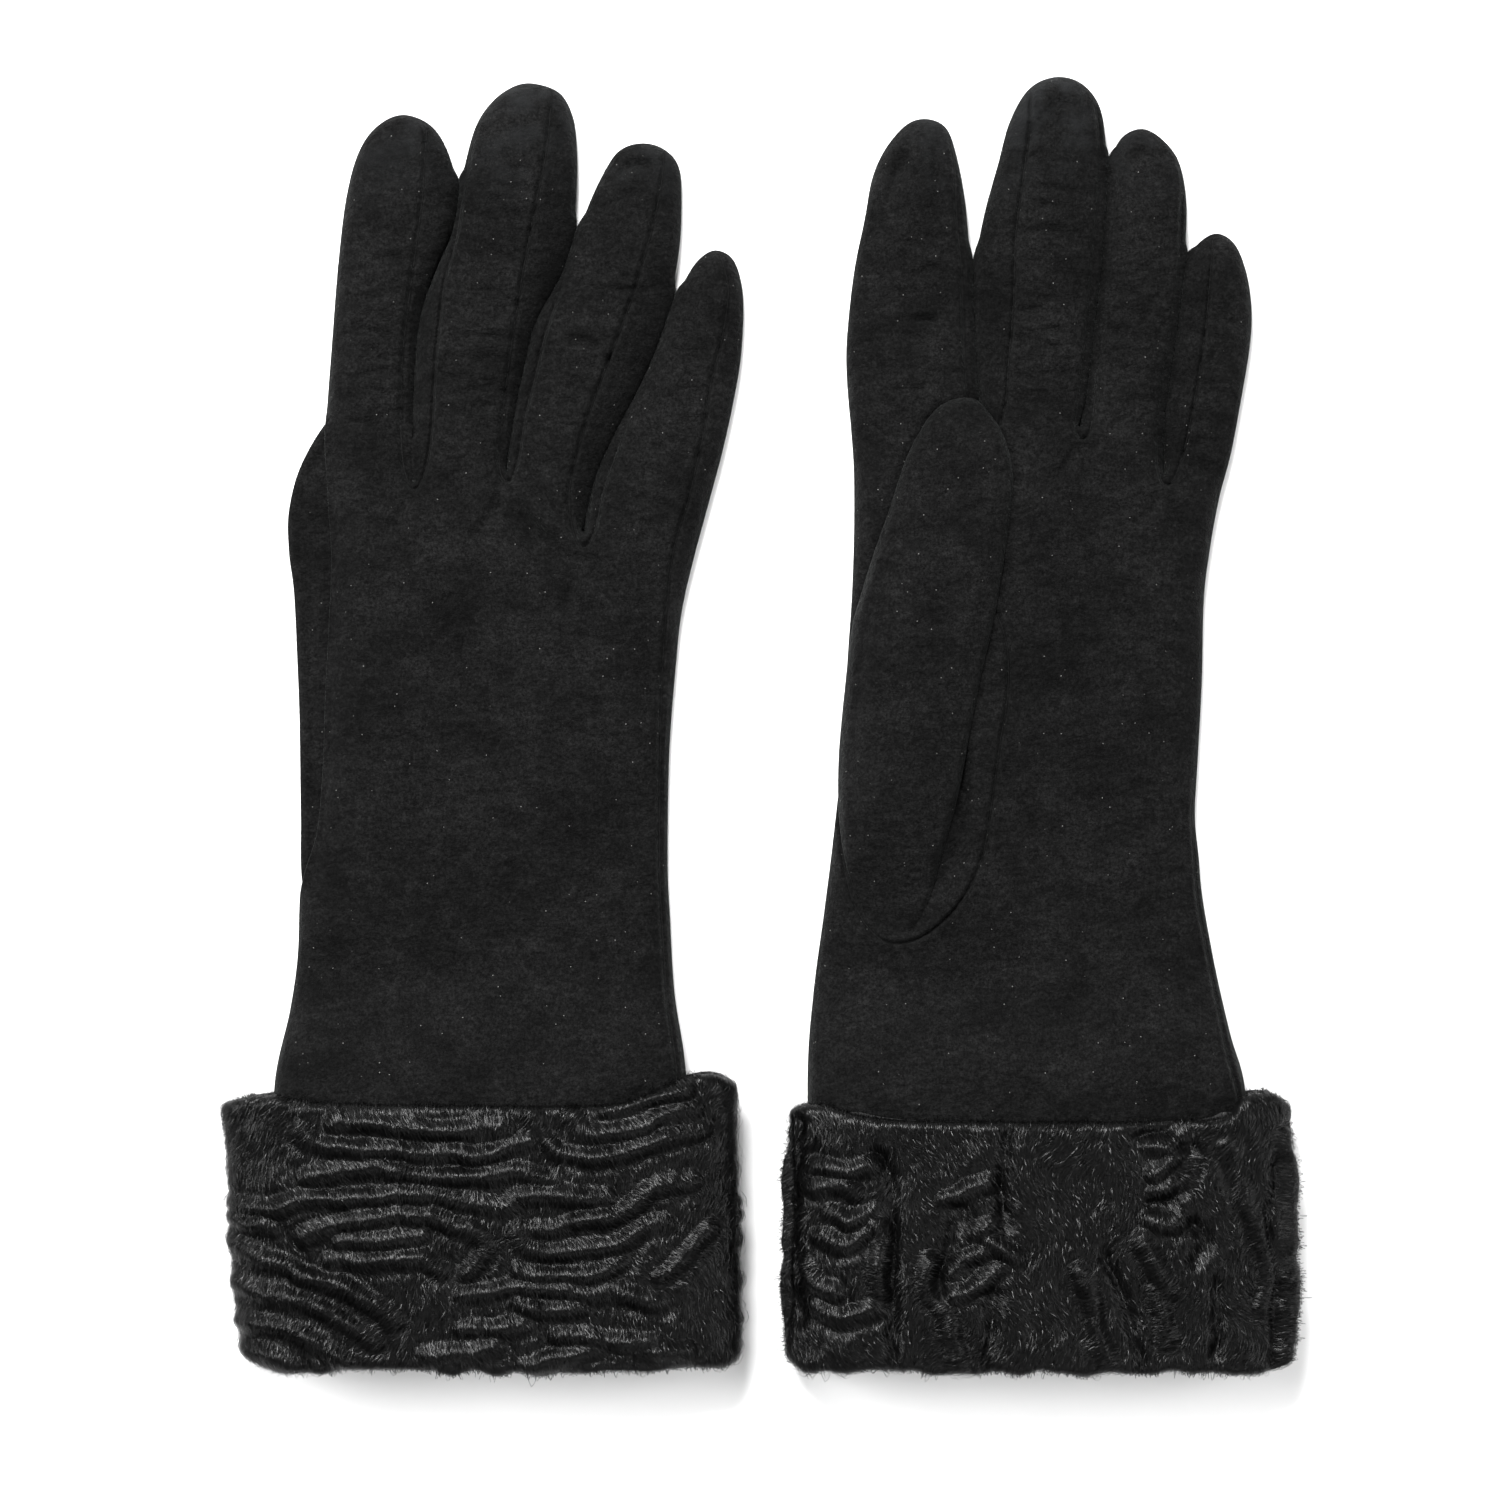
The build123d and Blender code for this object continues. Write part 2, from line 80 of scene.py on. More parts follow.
# ---- the two gloves' patterns ------------------------------------------------------------------
# Outline: four runs from the wrist round the fingers, which meet at the crotches.
# Forks: the U-shaped seams of the fourchettes. Side: the outer seam. Folds: (points, depth, width).
# Middle: x of a point well inside the hand. Joints_at: y of the creases along each finger.
# Cuff: x of each side at the top and bottom, the upper edge from 0 to 1 across, and the curls' lines.
RIGHT = {
    "hand": "right",
    "palm_up": False,
    "middle": -50.0,
    "seeds": {"creases": 23, "leather": 9, "thumb": 37, "hair": 103},
    "outline": [
        [(-103.5, -100.5), (-103.5, -76), (-100.5, -60), (-99, -48), (-98.5, -36), (-97, -29.5),
         (-94.5, -21), (-93.3, -7), (-92.8, 8), (-92, 23.5), (-91.5, 37), (-92.3, 50.5), (-92.9, 64.5),
         (-91.6, 84), (-90.2, 101.5), (-88.5, 115), (-86, 124.2), (-82.2, 129.8), (-76.8, 132.5),
         (-71.2, 130.8), (-67.6, 126.5), (-65.2, 119.5), (-64.7, 113.5), (-65.9, 107),
         (-68.4, 101), (-71.8, 92.5), (-73.6, 85), (-74.6, 73), (-74.6, 60.5), (-74, 53.5)],
        [(-74, 53.5), (-74, 60.5), (-73.4, 73), (-72.8, 85), (-71.2, 93.5), (-68.5, 101),
         (-66, 106.5), (-64.5, 113), (-63, 122), (-60.5, 130.5), (-56.5, 136), (-51.5, 139),
         (-47, 139), (-42.5, 137), (-40, 132.5), (-39, 126), (-39, 116.5), (-40, 107.5),
         (-43, 98), (-48.3, 88), (-50.5, 79.5), (-52.5, 70), (-54, 61), (-54, 56)],
        [(-54, 56), (-53, 61), (-51.5, 70), (-49.5, 79.5), (-47.2, 88), (-42, 97.5), (-39, 106),
         (-36.5, 113), (-33.5, 119.5), (-30, 124.7), (-25, 126.4), (-20.1, 125), (-17, 121),
         (-16.5, 113), (-17, 103.5), (-19, 93), (-22.5, 82), (-26.6, 73), (-30.8, 65),
         (-34.8, 56.5), (-37, 48.5), (-37.5, 43)],
        [(-37.5, 43), (-36, 48.5), (-34, 56), (-30, 64.5), (-25.5, 73), (-21.5, 82), (-18, 91.5),
         (-16, 96.5), (-13, 101.2), (-9.3, 103.4), (-5.5, 101.5), (-3.6, 96), (-3.2, 89.5), (-3.8, 80),
         (-5.2, 71.5), (-7.6, 60.5), (-10.4, 50), (-13.9, 37), (-16.4, 26), (-17.6, 15.5),
         (-19.1, -4), (-19.5, -27.5), (-19, -39.5), (-18, -56), (-15.5, -73), (-14.5, -100.5)],
    ],
    "forks": [
        [(-71, 131), (-71.5, 122), (-72, 113.5), (-74, 98.5), (-76, 83.5), (-76.5, 75), (-76.5, 63),
         (-75.7, 55.5), (-73.7, 51.6), (-71.6, 54.5), (-70, 63), (-69.5, 71), (-69, 79.5),
         (-68, 89.5), (-67, 97), (-65, 104), (-63.5, 113.5), (-61.5, 125), (-59.5, 133)],
        [(-44.5, 138.5), (-44.5, 133.5), (-45.5, 123), (-48, 111), (-50, 100.5), (-51.5, 91.5),
         (-53, 82), (-54.5, 71), (-55.5, 60.5), (-55.2, 55.2), (-53.6, 53.4), (-52, 56),
         (-51, 61), (-49.6, 69), (-48, 75), (-46, 83.5), (-44, 90), (-41, 98), (-38, 107.5),
         (-34.5, 116.5), (-31.5, 123.5)],
        [(-20.5, 125), (-20.5, 119.5), (-22.5, 108.5), (-27, 93), (-31, 82), (-34.5, 73),
         (-36.5, 67), (-39, 59), (-40.5, 51), (-39.7, 43), (-37.5, 39.3), (-35, 43), (-33, 52),
         (-30, 60.5), (-27, 69), (-23.5, 77.5), (-20.5, 86.5), (-17, 93), (-14, 100.5)],
    ],
    "side": [(-8.5, 103), (-7, 98), (-6.5, 93), (-8, 83), (-10, 75.5), (-11.5, 65), (-13.5, 56),
             (-15, 49.5), (-18, 39.5), (-19.5, 28), (-20.6, 13), (-21, -2.5), (-21.2, -27.5),
             (-20.6, -42.5), (-19.5, -57.5), (-17.5, -73), (-16.5, -100.5)],
    "thumb": [(-91.5, 68), (-98, 58), (-100.9, 48), (-101, 39), (-99.9, 30), (-99.2, 16),
              (-98.7, 2.7), (-98.4, -18), (-98, -33), (-94, -42), (-88, -44), (-82, -38),
              (-76, -20), (-70, 0), (-66, 20), (-66, 40), (-70, 57), (-77, 67.5), (-85, 70)],
    "gusset": [(-61, 24), (-58.5, 13.5), (-58.5, 6), (-61.5, -14), (-63.5, -26), (-67, -34),
               (-71, -39.5), (-76, -43), (-81, -44), (-86, -42), (-89.5, -35.5), (-92, -24),
               (-92, -12), (-90.5, 2), (-88, 18), (-84, 30), (-75, 36), (-66, 33)],
    "folds": [
        ([(-70.5, 38), (-61.8, 20), (-54, 4), (-46, -12)], 1.3, 3.4),
        ([(-50.5, 60), (-47.5, 54), (-44, 48.5), (-40.5, 43.5), (-38.5, 40.5)], 0.9, 0.9),
        ([(-53, 56), (-49.8, 50.5), (-45.8, 45), (-41.5, 40.5)], -0.7, 1.5),
        ([(-56, 50), (-50, 44), (-43, 39), (-36, 34)], 0.7, 2.0),
        ([(-31, 118), (-27.5, 121.4), (-23.5, 121.2), (-21, 117.5)], 0.8, 0.9),
        ([(-62.3, 101.5), (-56, 102), (-50.5, 101)], 0.45, 0.8),
        ([(-65.3, 83.8), (-59, 84.4), (-52.8, 82)], 0.5, 0.8),
        ([(-64, 80), (-58.5, 79.4), (-53.4, 80.2)], 0.4, 0.8),
        ([(-42.2, 83.8), (-37.5, 83.6), (-32.8, 81.4)], 0.45, 0.8),
        ([(-39.9, 95.6), (-35, 94.4), (-29.2, 91)], 0.4, 0.8),
        ([(-82.4, 76.7), (-79, 77), (-75.4, 75.5)], 0.4, 0.8),
        ([(-90, 84), (-85, 85.4), (-78, 84.2)], 0.35, 0.9),
        ([(-18, 91), (-15, 91.2), (-11.5, 89.2)], 0.4, 0.7),
        ([(-31.5, 112), (-27, 115), (-22.6, 113.6)], 0.35, 1.1),
        ([(-59, 113), (-53, 110.5), (-48.6, 111.5)], 0.4, 1.6),
        ([(-85, 120), (-80, 117.5), (-75, 119)], 0.3, 1.4),
        ([(-74, 51), (-77, 45), (-82, 40)], 0.5, 1.3),
        ([(-73, 51), (-71, 44), (-67, 38)], 0.5, 1.3),
        ([(-54, 53), (-57, 46), (-62, 41)], 0.5, 1.2),
        ([(-37.4, 39), (-39.5, 31), (-43, 24)], 0.6, 1.3),
        ([(-37, 39), (-33, 31), (-28, 26)], 0.6, 1.3),
        ([(-54, 52), (-49, 42), (-42, 33), (-36, 22)], 0.8, 2.6),
        ([(-39, 9), (-29, -14), (-25, -27)], 0.9, 3.2),
        ([(-77, 2), (-72, -12), (-66, -22)], 0.5, 3.6),
        ([(-64, 30), (-56, 12), (-48, -4), (-40, -26)], -0.7, 4.0),
        ([(-88, 48), (-80, 44), (-73, 44)], 0.35, 2.0),
        ([(-96, -48), (-80, -54), (-60, -52), (-42, -56)], 0.35, 3.2),
        ([(-30, 33), (-24, 22), (-21, 8)], 0.5, 2.4),
    ],
    "joints_at": {"index": (99, 82, 66), "middle": (112, 88, 72), "ring": (98, 80, 62),
                  "little": (78, 62, 50)},
    "cuff": {
        "left": (-115.0, -111.2), "right": (-3.9, -2.2), "bottom": -135.2,
        "top": [(0, -78.4), (0.1, -77.2), (0.2, -78.6), (0.6, -79.3), (0.78, -78.6), (0.88, -74.4),
                (0.95, -72.6), (1, -73.6)],
        "ridges": [
            [(-89, -82.5), (-80, -83), (-70, -84), (-60, -84), (-54, -83.8)],
            [(-97, -84.5), (-92, -87.5), (-80, -88.3), (-70, -89), (-58, -89.3), (-52, -87),
             (-48, -86.5)],
            [(-95, -94), (-88, -93), (-81, -92), (-76, -93.3), (-62, -94), (-50, -93),
             (-43.5, -94.8)],
            [(-113, -100), (-104, -101), (-97, -99), (-86, -98.3), (-70, -98), (-60, -99.8),
             (-54, -100.5), (-51, -99)],
            [(-96, -107), (-89, -104), (-80, -102.8), (-72, -102), (-64, -104), (-59, -106.5),
             (-58, -109.5), (-61, -114)],
            [(-88, -107.8), (-80, -107.3), (-71, -106.3)],
            [(-90, -112), (-80, -111.8), (-71, -111), (-67, -113.5)],
            [(-113, -107), (-108, -110.5), (-100, -113), (-93, -115.7), (-86, -118),
             (-81, -120.5), (-77, -124.5)],
            [(-110, -117), (-104, -119), (-97, -120.5), (-91, -122.5), (-84, -126.5),
             (-81, -129)],
            [(-110, -125), (-103, -125.3), (-97, -127), (-91, -130.5), (-87, -133.5)],
            [(-109, -130.5), (-104, -131.5), (-98, -134)],
            [(-39, -82), (-37, -84.6), (-32, -85), (-24, -83.5), (-20, -81.5), (-13, -80)],
            [(-49, -80), (-46, -84), (-43, -88), (-38, -89.5), (-30, -89.5), (-22, -86.5),
             (-12, -84.5)],
            [(-32, -79.5), (-25, -77.8), (-15, -76)],
            [(-50, -98.3), (-42, -98), (-32, -98.5)],
            [(-51, -105), (-48, -105.2), (-42, -104.5), (-36, -102.8), (-29, -101.5),
             (-23, -97), (-19, -95.5), (-14, -95)],
            [(-51, -105), (-50, -108), (-46, -109.7), (-36, -109), (-29, -108), (-24, -104.5),
             (-20, -104)],
            [(-50, -114.3), (-42, -114.8), (-34, -114.5), (-29, -112)],
            [(-62, -119), (-55, -118), (-49, -117), (-42, -118), (-32, -119)],
            [(-51, -120.5), (-46, -122), (-37, -121.7)],
            [(-62, -126), (-56, -126), (-50, -125.5)],
            [(-70, -131.5), (-62, -131), (-55, -130)],
            [(-49, -134), (-42, -132), (-34, -130.5)],
            [(-36, -135), (-26, -136), (-16, -136)],
            [(-32, -118), (-26, -119.5), (-21, -121)],
            [(-20, -115), (-15, -110), (-11, -105.5)],
            [(-25, -131), (-15, -131)],
            [(-42, -127.5), (-30, -128.5), (-22, -129)],
            [(-111, -103), (-103, -105)],
        ],
        "grooves": [],
    },
}
LEFT = {
    "hand": "left",
    "palm_up": True,
    "middle": 75.0,
    "seeds": {"creases": 11, "leather": 5, "thumb": 31, "hair": 101},
    "outline": [
        [(11, -100.5), (10.5, -73), (11.8, -56), (14, -39.5), (15.6, -27), (17.1, -14), (18.7, -2.5),
         (19, 13), (20, 28), (20.5, 42), (20.5, 55), (20, 63.5), (19, 75.5), (19, 84.5),
         (20.5, 98.5), (22.8, 110), (24.5, 119), (27.5, 125.5), (32, 130.5), (36.4, 131.6),
         (40.4, 129.6), (42.5, 124), (44.2, 115.5), (45, 108), (45.3, 102), (45.9, 89.5),
         (46.4, 78.5), (47, 71.5), (47.5, 64.5)],
        [(47.5, 64.5), (47.8, 71.5), (47.3, 78.5), (46.9, 89.5), (46.9, 101.5), (48.5, 111),
         (51.5, 122), (54, 131), (58, 137.9), (63.5, 140.6), (69, 139.5), (73, 135),
         (74.5, 128), (74.4, 120), (74.1, 111), (73.3, 101), (71.8, 87), (70.3, 73.5), (69, 65.5)],
        [(69, 65.5), (71, 73.5), (72.7, 87), (74.5, 101), (75.1, 111), (75.8, 122), (78, 127.5),
         (82.5, 129.5), (87, 127), (90.5, 122), (92, 113), (91.5, 102), (90, 90), (88.3, 78),
         (86.8, 67), (87, 55.5)],
        [(87, 55.5), (87.7, 67), (89.2, 77.5), (90.8, 89.5), (92.2, 100.5), (94.5, 104.8),
         (98.5, 107), (102.5, 104.5), (105, 98), (106, 90), (105.5, 82), (103.5, 70),
         (101.5, 59.5), (99, 50), (97, 39), (95.7, 28), (95.3, 11), (94.4, -6), (93.8, -18),
         (94.6, -27), (95.4, -35.5), (97.6, -48), (101, -64.5), (104.1, -77), (104.8, -100.5)],
    ],
    "forks": [
        [(40.5, 129), (42, 122), (42.5, 110), (43.5, 98.5), (44, 83), (44.6, 73.5), (45.8, 64),
         (47.3, 61.6), (49.2, 61.8), (51.5, 65.5), (53, 71.5), (53.5, 79), (54.5, 90.5), (55, 106),
         (56.5, 117.5), (58, 129), (58.5, 138)],
        [(72, 136.5), (73, 127), (72.5, 110), (71, 94.5), (70, 83), (68.8, 71.5), (67.8, 65.5),
         (69, 62.5), (71, 64.5), (72.2, 71.5), (73, 77.5), (74.2, 88.5), (75, 98.5), (76, 110),
         (76.8, 120.5), (78, 128)],
        [(89.5, 125), (91, 117.5), (90.5, 111), (90, 98.5), (88.5, 87), (86.5, 73.5), (85.5, 62.5),
         (85.8, 55), (87.4, 52.6), (89.4, 55), (91.5, 61.5), (93.5, 71.5), (95.5, 85),
         (96.5, 94.5), (97, 101), (97.5, 106.5)],
    ],
    "side": [(93.2, -14), (93, -20), (93.4, -27.5), (94.2, -37), (97, -52), (100, -69.5),
             (102.3, -80), (103.4, -100.5)],
    "thumb": [(45, 71.5), (48.5, 69.5), (52.5, 63), (54.5, 55), (54, 47.5), (52.5, 36), (50.5, 24),
              (48, 13), (45.5, 1), (43.5, -10), (40.5, -22), (38, -31), (35.5, -39), (32, -43.5),
              (27, -42), (22.5, -37.5), (19, -29.5), (17.3, -19), (17.2, -6), (18.5, 9), (20, 22),
              (22, 29.5), (25, 39), (28, 47.5), (30.3, 55), (33.5, 62.5), (38.6, 69.4)],
    "gusset": [(50.5, 26), (52.8, 19.5), (53.4, 13.5), (53, 6), (51.5, -3), (50, -14), (48, -26),
               (44.5, -34), (40.5, -39.5), (35.5, -43.5), (31, -45.2), (26.5, -44.6), (22.7, -41),
               (19.8, -35), (18, -26), (18, -14), (19.5, 2), (23, 18), (28, 30), (37, 36),
               (46, 33)],
    "folds": [
        ([(40.6, 4), (43.6, -8), (42.4, -24), (36.6, -38)], 1.2, 2.0),
        ([(62, 40), (68, 22), (72, 2)], 0.7, 3.0),
        ([(56.9, 106.5), (62, 107.2), (66.9, 105.3)], 0.5, 0.7),
        ([(57.5, 84.8), (62, 85.4), (66.9, 83.8)], 0.55, 0.7),
        ([(58.5, 82.2), (63, 82.4), (66.5, 81.6)], 0.4, 0.7),
        ([(74.6, 93.5), (78.5, 94), (82.3, 93.3)], 0.5, 0.7),
        ([(74.6, 78.5), (78, 77.6), (81.1, 75.3)], 0.5, 0.7),
        ([(31, 97.2), (36.5, 98.4), (42.1, 98)], 0.5, 0.7),
        ([(31.5, 87), (36.5, 87.9), (41.4, 88.4)], 0.4, 0.7),
        ([(27.2, 112), (29.6, 119), (33, 126.4)], 0.8, 1.1),
        ([(36.6, 127.5), (38.4, 121), (38.2, 113)], 0.5, 1.0),
        ([(57.5, 126), (60.5, 131.5), (65.5, 134), (70.5, 131)], 0.6, 0.9),
        ([(79, 121), (83, 124), (87.5, 121.5)], 0.4, 0.9),
        ([(48, 60.5), (52, 55), (58, 52)], 0.5, 1.2),
        ([(69.5, 62), (70.5, 55), (75, 50)], 0.6, 1.2),
        ([(69, 62), (65.5, 56), (60.5, 53)], 0.5, 1.2),
        ([(87.5, 52), (88.8, 45), (93, 40)], 0.6, 1.2),
        ([(87, 52), (83, 46), (77, 43)], 0.5, 1.2),
        ([(57, 2), (60, -18), (66, -36)], 0.5, 3.8),
        ([(56, 58), (64, 50), (74, 46), (84, 46)], 0.4, 2.6),
        ([(80, 30), (84, 12), (87, -6)], 0.5, 3.2),
        ([(15, -50), (34, -56), (58, -54), (84, -60)], 0.35, 3.4),
    ],
    "joints_at": {"index": (104, 86, 72), "middle": (112, 88, 74), "ring": (104, 84, 70),
                  "little": (84, 68, 56)},
    "cuff": {
        "left": (5.2, 5.0), "right": (114.2, 114.6), "bottom": -135.5,
        "top": [(0, -79.6), (0.06, -79.2), (0.2, -82), (0.5, -82.6), (0.84, -82), (0.9, -77.6),
                (0.96, -76.6), (1, -78.4)],
        "ridges": [
            [(12, -92), (18, -93), (24, -91.5)], [(12, -97), (17, -96), (21, -98)],
            [(15, -102), (19, -103.5), (24, -101.5)], [(10, -113), (12, -117), (16, -118.5)],
            [(13, -107), (18, -108.5), (23, -106)], [(12, -122), (17, -124), (24, -122)],
            [(24, -104), (26.3, -107), (25.5, -112), (26, -118)],
            [(40, -98.5), (45, -96.5), (49, -95)], [(46, -105.5), (51, -103.5)],
            [(41, -119), (45, -117.5), (49, -114.3), (50.5, -113)],
            [(47, -106), (50, -108.5), (54, -110.5)], [(41, -113.5), (45, -111), (49, -109)],
            [(36, -112), (35.5, -116), (37, -119)], [(39, -122), (41, -128), (42.5, -134)],
            [(81, -107), (83.5, -112), (86.5, -118)], [(84.5, -118), (85.5, -124), (86, -128)],
            [(82, -87), (86, -88), (89, -86)], [(83, -93), (87, -91), (90, -89)],
            [(83, -97.5), (87, -96), (90, -94.5), (91, -90)],
            [(82, -103), (86, -104), (89, -103)],
            [(99, -88), (101, -93), (103.5, -100), (105.5, -105), (107, -110), (108, -116),
             (106.5, -122)],
            [(68, -114), (70, -120), (72, -128), (74, -134)],
            [(112, -86), (113.5, -96), (114, -110), (113, -124), (112.5, -134)],
        ],
        "grooves": [
            [(8, -83), (7.5, -95), (7, -110), (8, -124)],
            [(24, -89.5), (27, -91), (28.5, -97), (28, -105), (28.5, -118), (28, -126), (28, -136)],
            [(52.5, -85), (51.8, -92), (52, -104)],
            [(50, -119), (48.5, -126), (48, -135)],
            [(73.5, -111), (75.5, -116), (78, -124), (80.5, -134)],
            [(81, -85.5), (88, -84.5), (91, -90), (88, -98), (83, -99)],
            [(92, -104), (94, -108), (92, -112)],
            [(96.5, -117), (97, -124), (96.5, -131)],
            [(110, -92), (108.5, -104), (109.5, -118), (110, -133)],
            [(38, -118), (40, -108), (43, -101)],
        ],
    },
}


# ---- numbers -----------------------------------------------------------------------------------
def smoothstep(x, low, high):
    """0 below low, 1 above high, and an even curve between."""
    t = np.clip((x - low) / (high - low), 0, 1)
    return t * t * (3 - 2 * t)


def lattice(ix, iy, seed):
    """A repeatable random number from 0 to 1 for each grid point."""
    n = ix.astype(np.int64) * 374761393 + iy.astype(np.int64) * 668265263 + seed * 2147483647
    n = (n ^ (n >> 13)) * 1274126177
    return ((n ^ (n >> 16)) & 0xFFFFFF) / float(0xFFFFFF)


def noise(x, y, seed):
    """Smooth noise from -1 to 1, about one unit per bump."""
    ix, iy = np.floor(x), np.floor(y)
    fx, fy = x - ix, y - iy
    fx, fy = fx * fx * (3 - 2 * fx), fy * fy * (3 - 2 * fy)
    low = lattice(ix, iy, seed) * (1 - fx) + lattice(ix + 1, iy, seed) * fx
    high = lattice(ix, iy + 1, seed) * (1 - fx) + lattice(ix + 1, iy + 1, seed) * fx
    return 2 * (low * (1 - fy) + high * fy) - 1


def rough_noise(x, y, seed, octaves=3):
    """Noise with finer noise on it."""
    total = np.zeros_like(x, float)
    for k in range(octaves):
        total += noise(x * 2**k, y * 2**k, seed + k) / 2**k
    return total


def unit(v):
    """The vectors along the last axis, at length 1."""
    return v / (np.linalg.norm(v, axis=-1, keepdims=True) + 1e-9)


# ---- lines -------------------------------------------------------------------------------------
def resample(line, step):
    """The same line with even steps of about the given length."""
    line = np.asarray(line, float)
    run = np.r_[0, np.cumsum(np.linalg.norm(np.diff(line, axis=0), axis=1))]
    at = np.linspace(0, run[-1], max(2, round(run[-1] / step) + 1))
    return np.column_stack([np.interp(at, run, line[:, k]) for k in range(line.shape[1])])


def curve_through(points, step, closed=False):
    """A smooth line through the points, in even steps."""
    p = np.asarray(points, float)
    if closed:
        p = np.vstack([p[-1], p, p[0], p[1]])
    else:
        p = np.vstack([2 * p[0] - p[1], p, 2 * p[-1] - p[-2]])
    t = np.linspace(0, 1, 20, endpoint=False)[:, None]
    fine = []
    for a, b, c, d in zip(p, p[1:], p[2:], p[3:]):
        bend = (2 * a - 5 * b + 4 * c - d) * t**2 + (3 * b - a - 3 * c + d) * t**3
        fine.append(0.5 * (2 * b + (c - a) * t + bend))
    return resample(np.vstack(fine + [p[-2:-1]]), step)


def bell(away, middle, width):
    """A smooth hump beside a line: 1 at the middle distance, fading over the width."""
    return np.exp(-(((away - middle) / width) ** 2))


def line_distance(points, line):
    """Each point's distance to a line, and how far along the line its nearest point is."""
    best = np.full(len(points), 1e9)
    along = np.zeros(len(points))
    start = 0.0
    for a, b in zip(line, line[1:]):
        d = b - a
        length = np.linalg.norm(d)
        t = np.clip((points - a) @ d / (length * length + 1e-12), 0, 1)
        away = np.linalg.norm(points - a - t[:, None] * d, axis=1)
        nearer = away < best
        best[nearer] = away[nearer]
        along[nearer] = start + t[nearer] * length
        start += length
    return best, along


def inside(points, loop):
    """Which points are inside a closed loop."""
    x, y = points[:, 0], points[:, 1]
    result = np.zeros(len(points), bool)
    for (ax, ay), (bx, by) in zip(loop, np.roll(loop, -1, axis=0)):
        if ay == by:
            continue
        result ^= ((ay > y) != (by > y)) & (x < ax + (y - ay) * (bx - ax) / (by - ay))
    return result


def nearest(points, others):
    """Distance from each point to the nearest of the others, and which one it is."""
    tree = KDTree(len(others))
    for k, p in enumerate(others):
        tree.insert((p[0], p[1], 0), k)
    tree.balance()
    found = [tree.find((p[0], p[1], 0)) for p in points]
    return np.array([f[2] for f in found]), np.array([f[1] for f in found])


def side_points(line, distances, closed=False):
    """Lines of points at the given distances to the left of a line's own points."""
    if closed:
        ahead, behind = np.roll(line, -1, axis=0), np.roll(line, 1, axis=0)
    else:
        ahead, behind = np.vstack([line[1:], line[-1:]]), np.vstack([line[:1], line[:-1]])
    d = ahead - behind
    left = unit(np.column_stack([-d[:, 1], d[:, 0]]))
    return [line + left * k for k in distances]


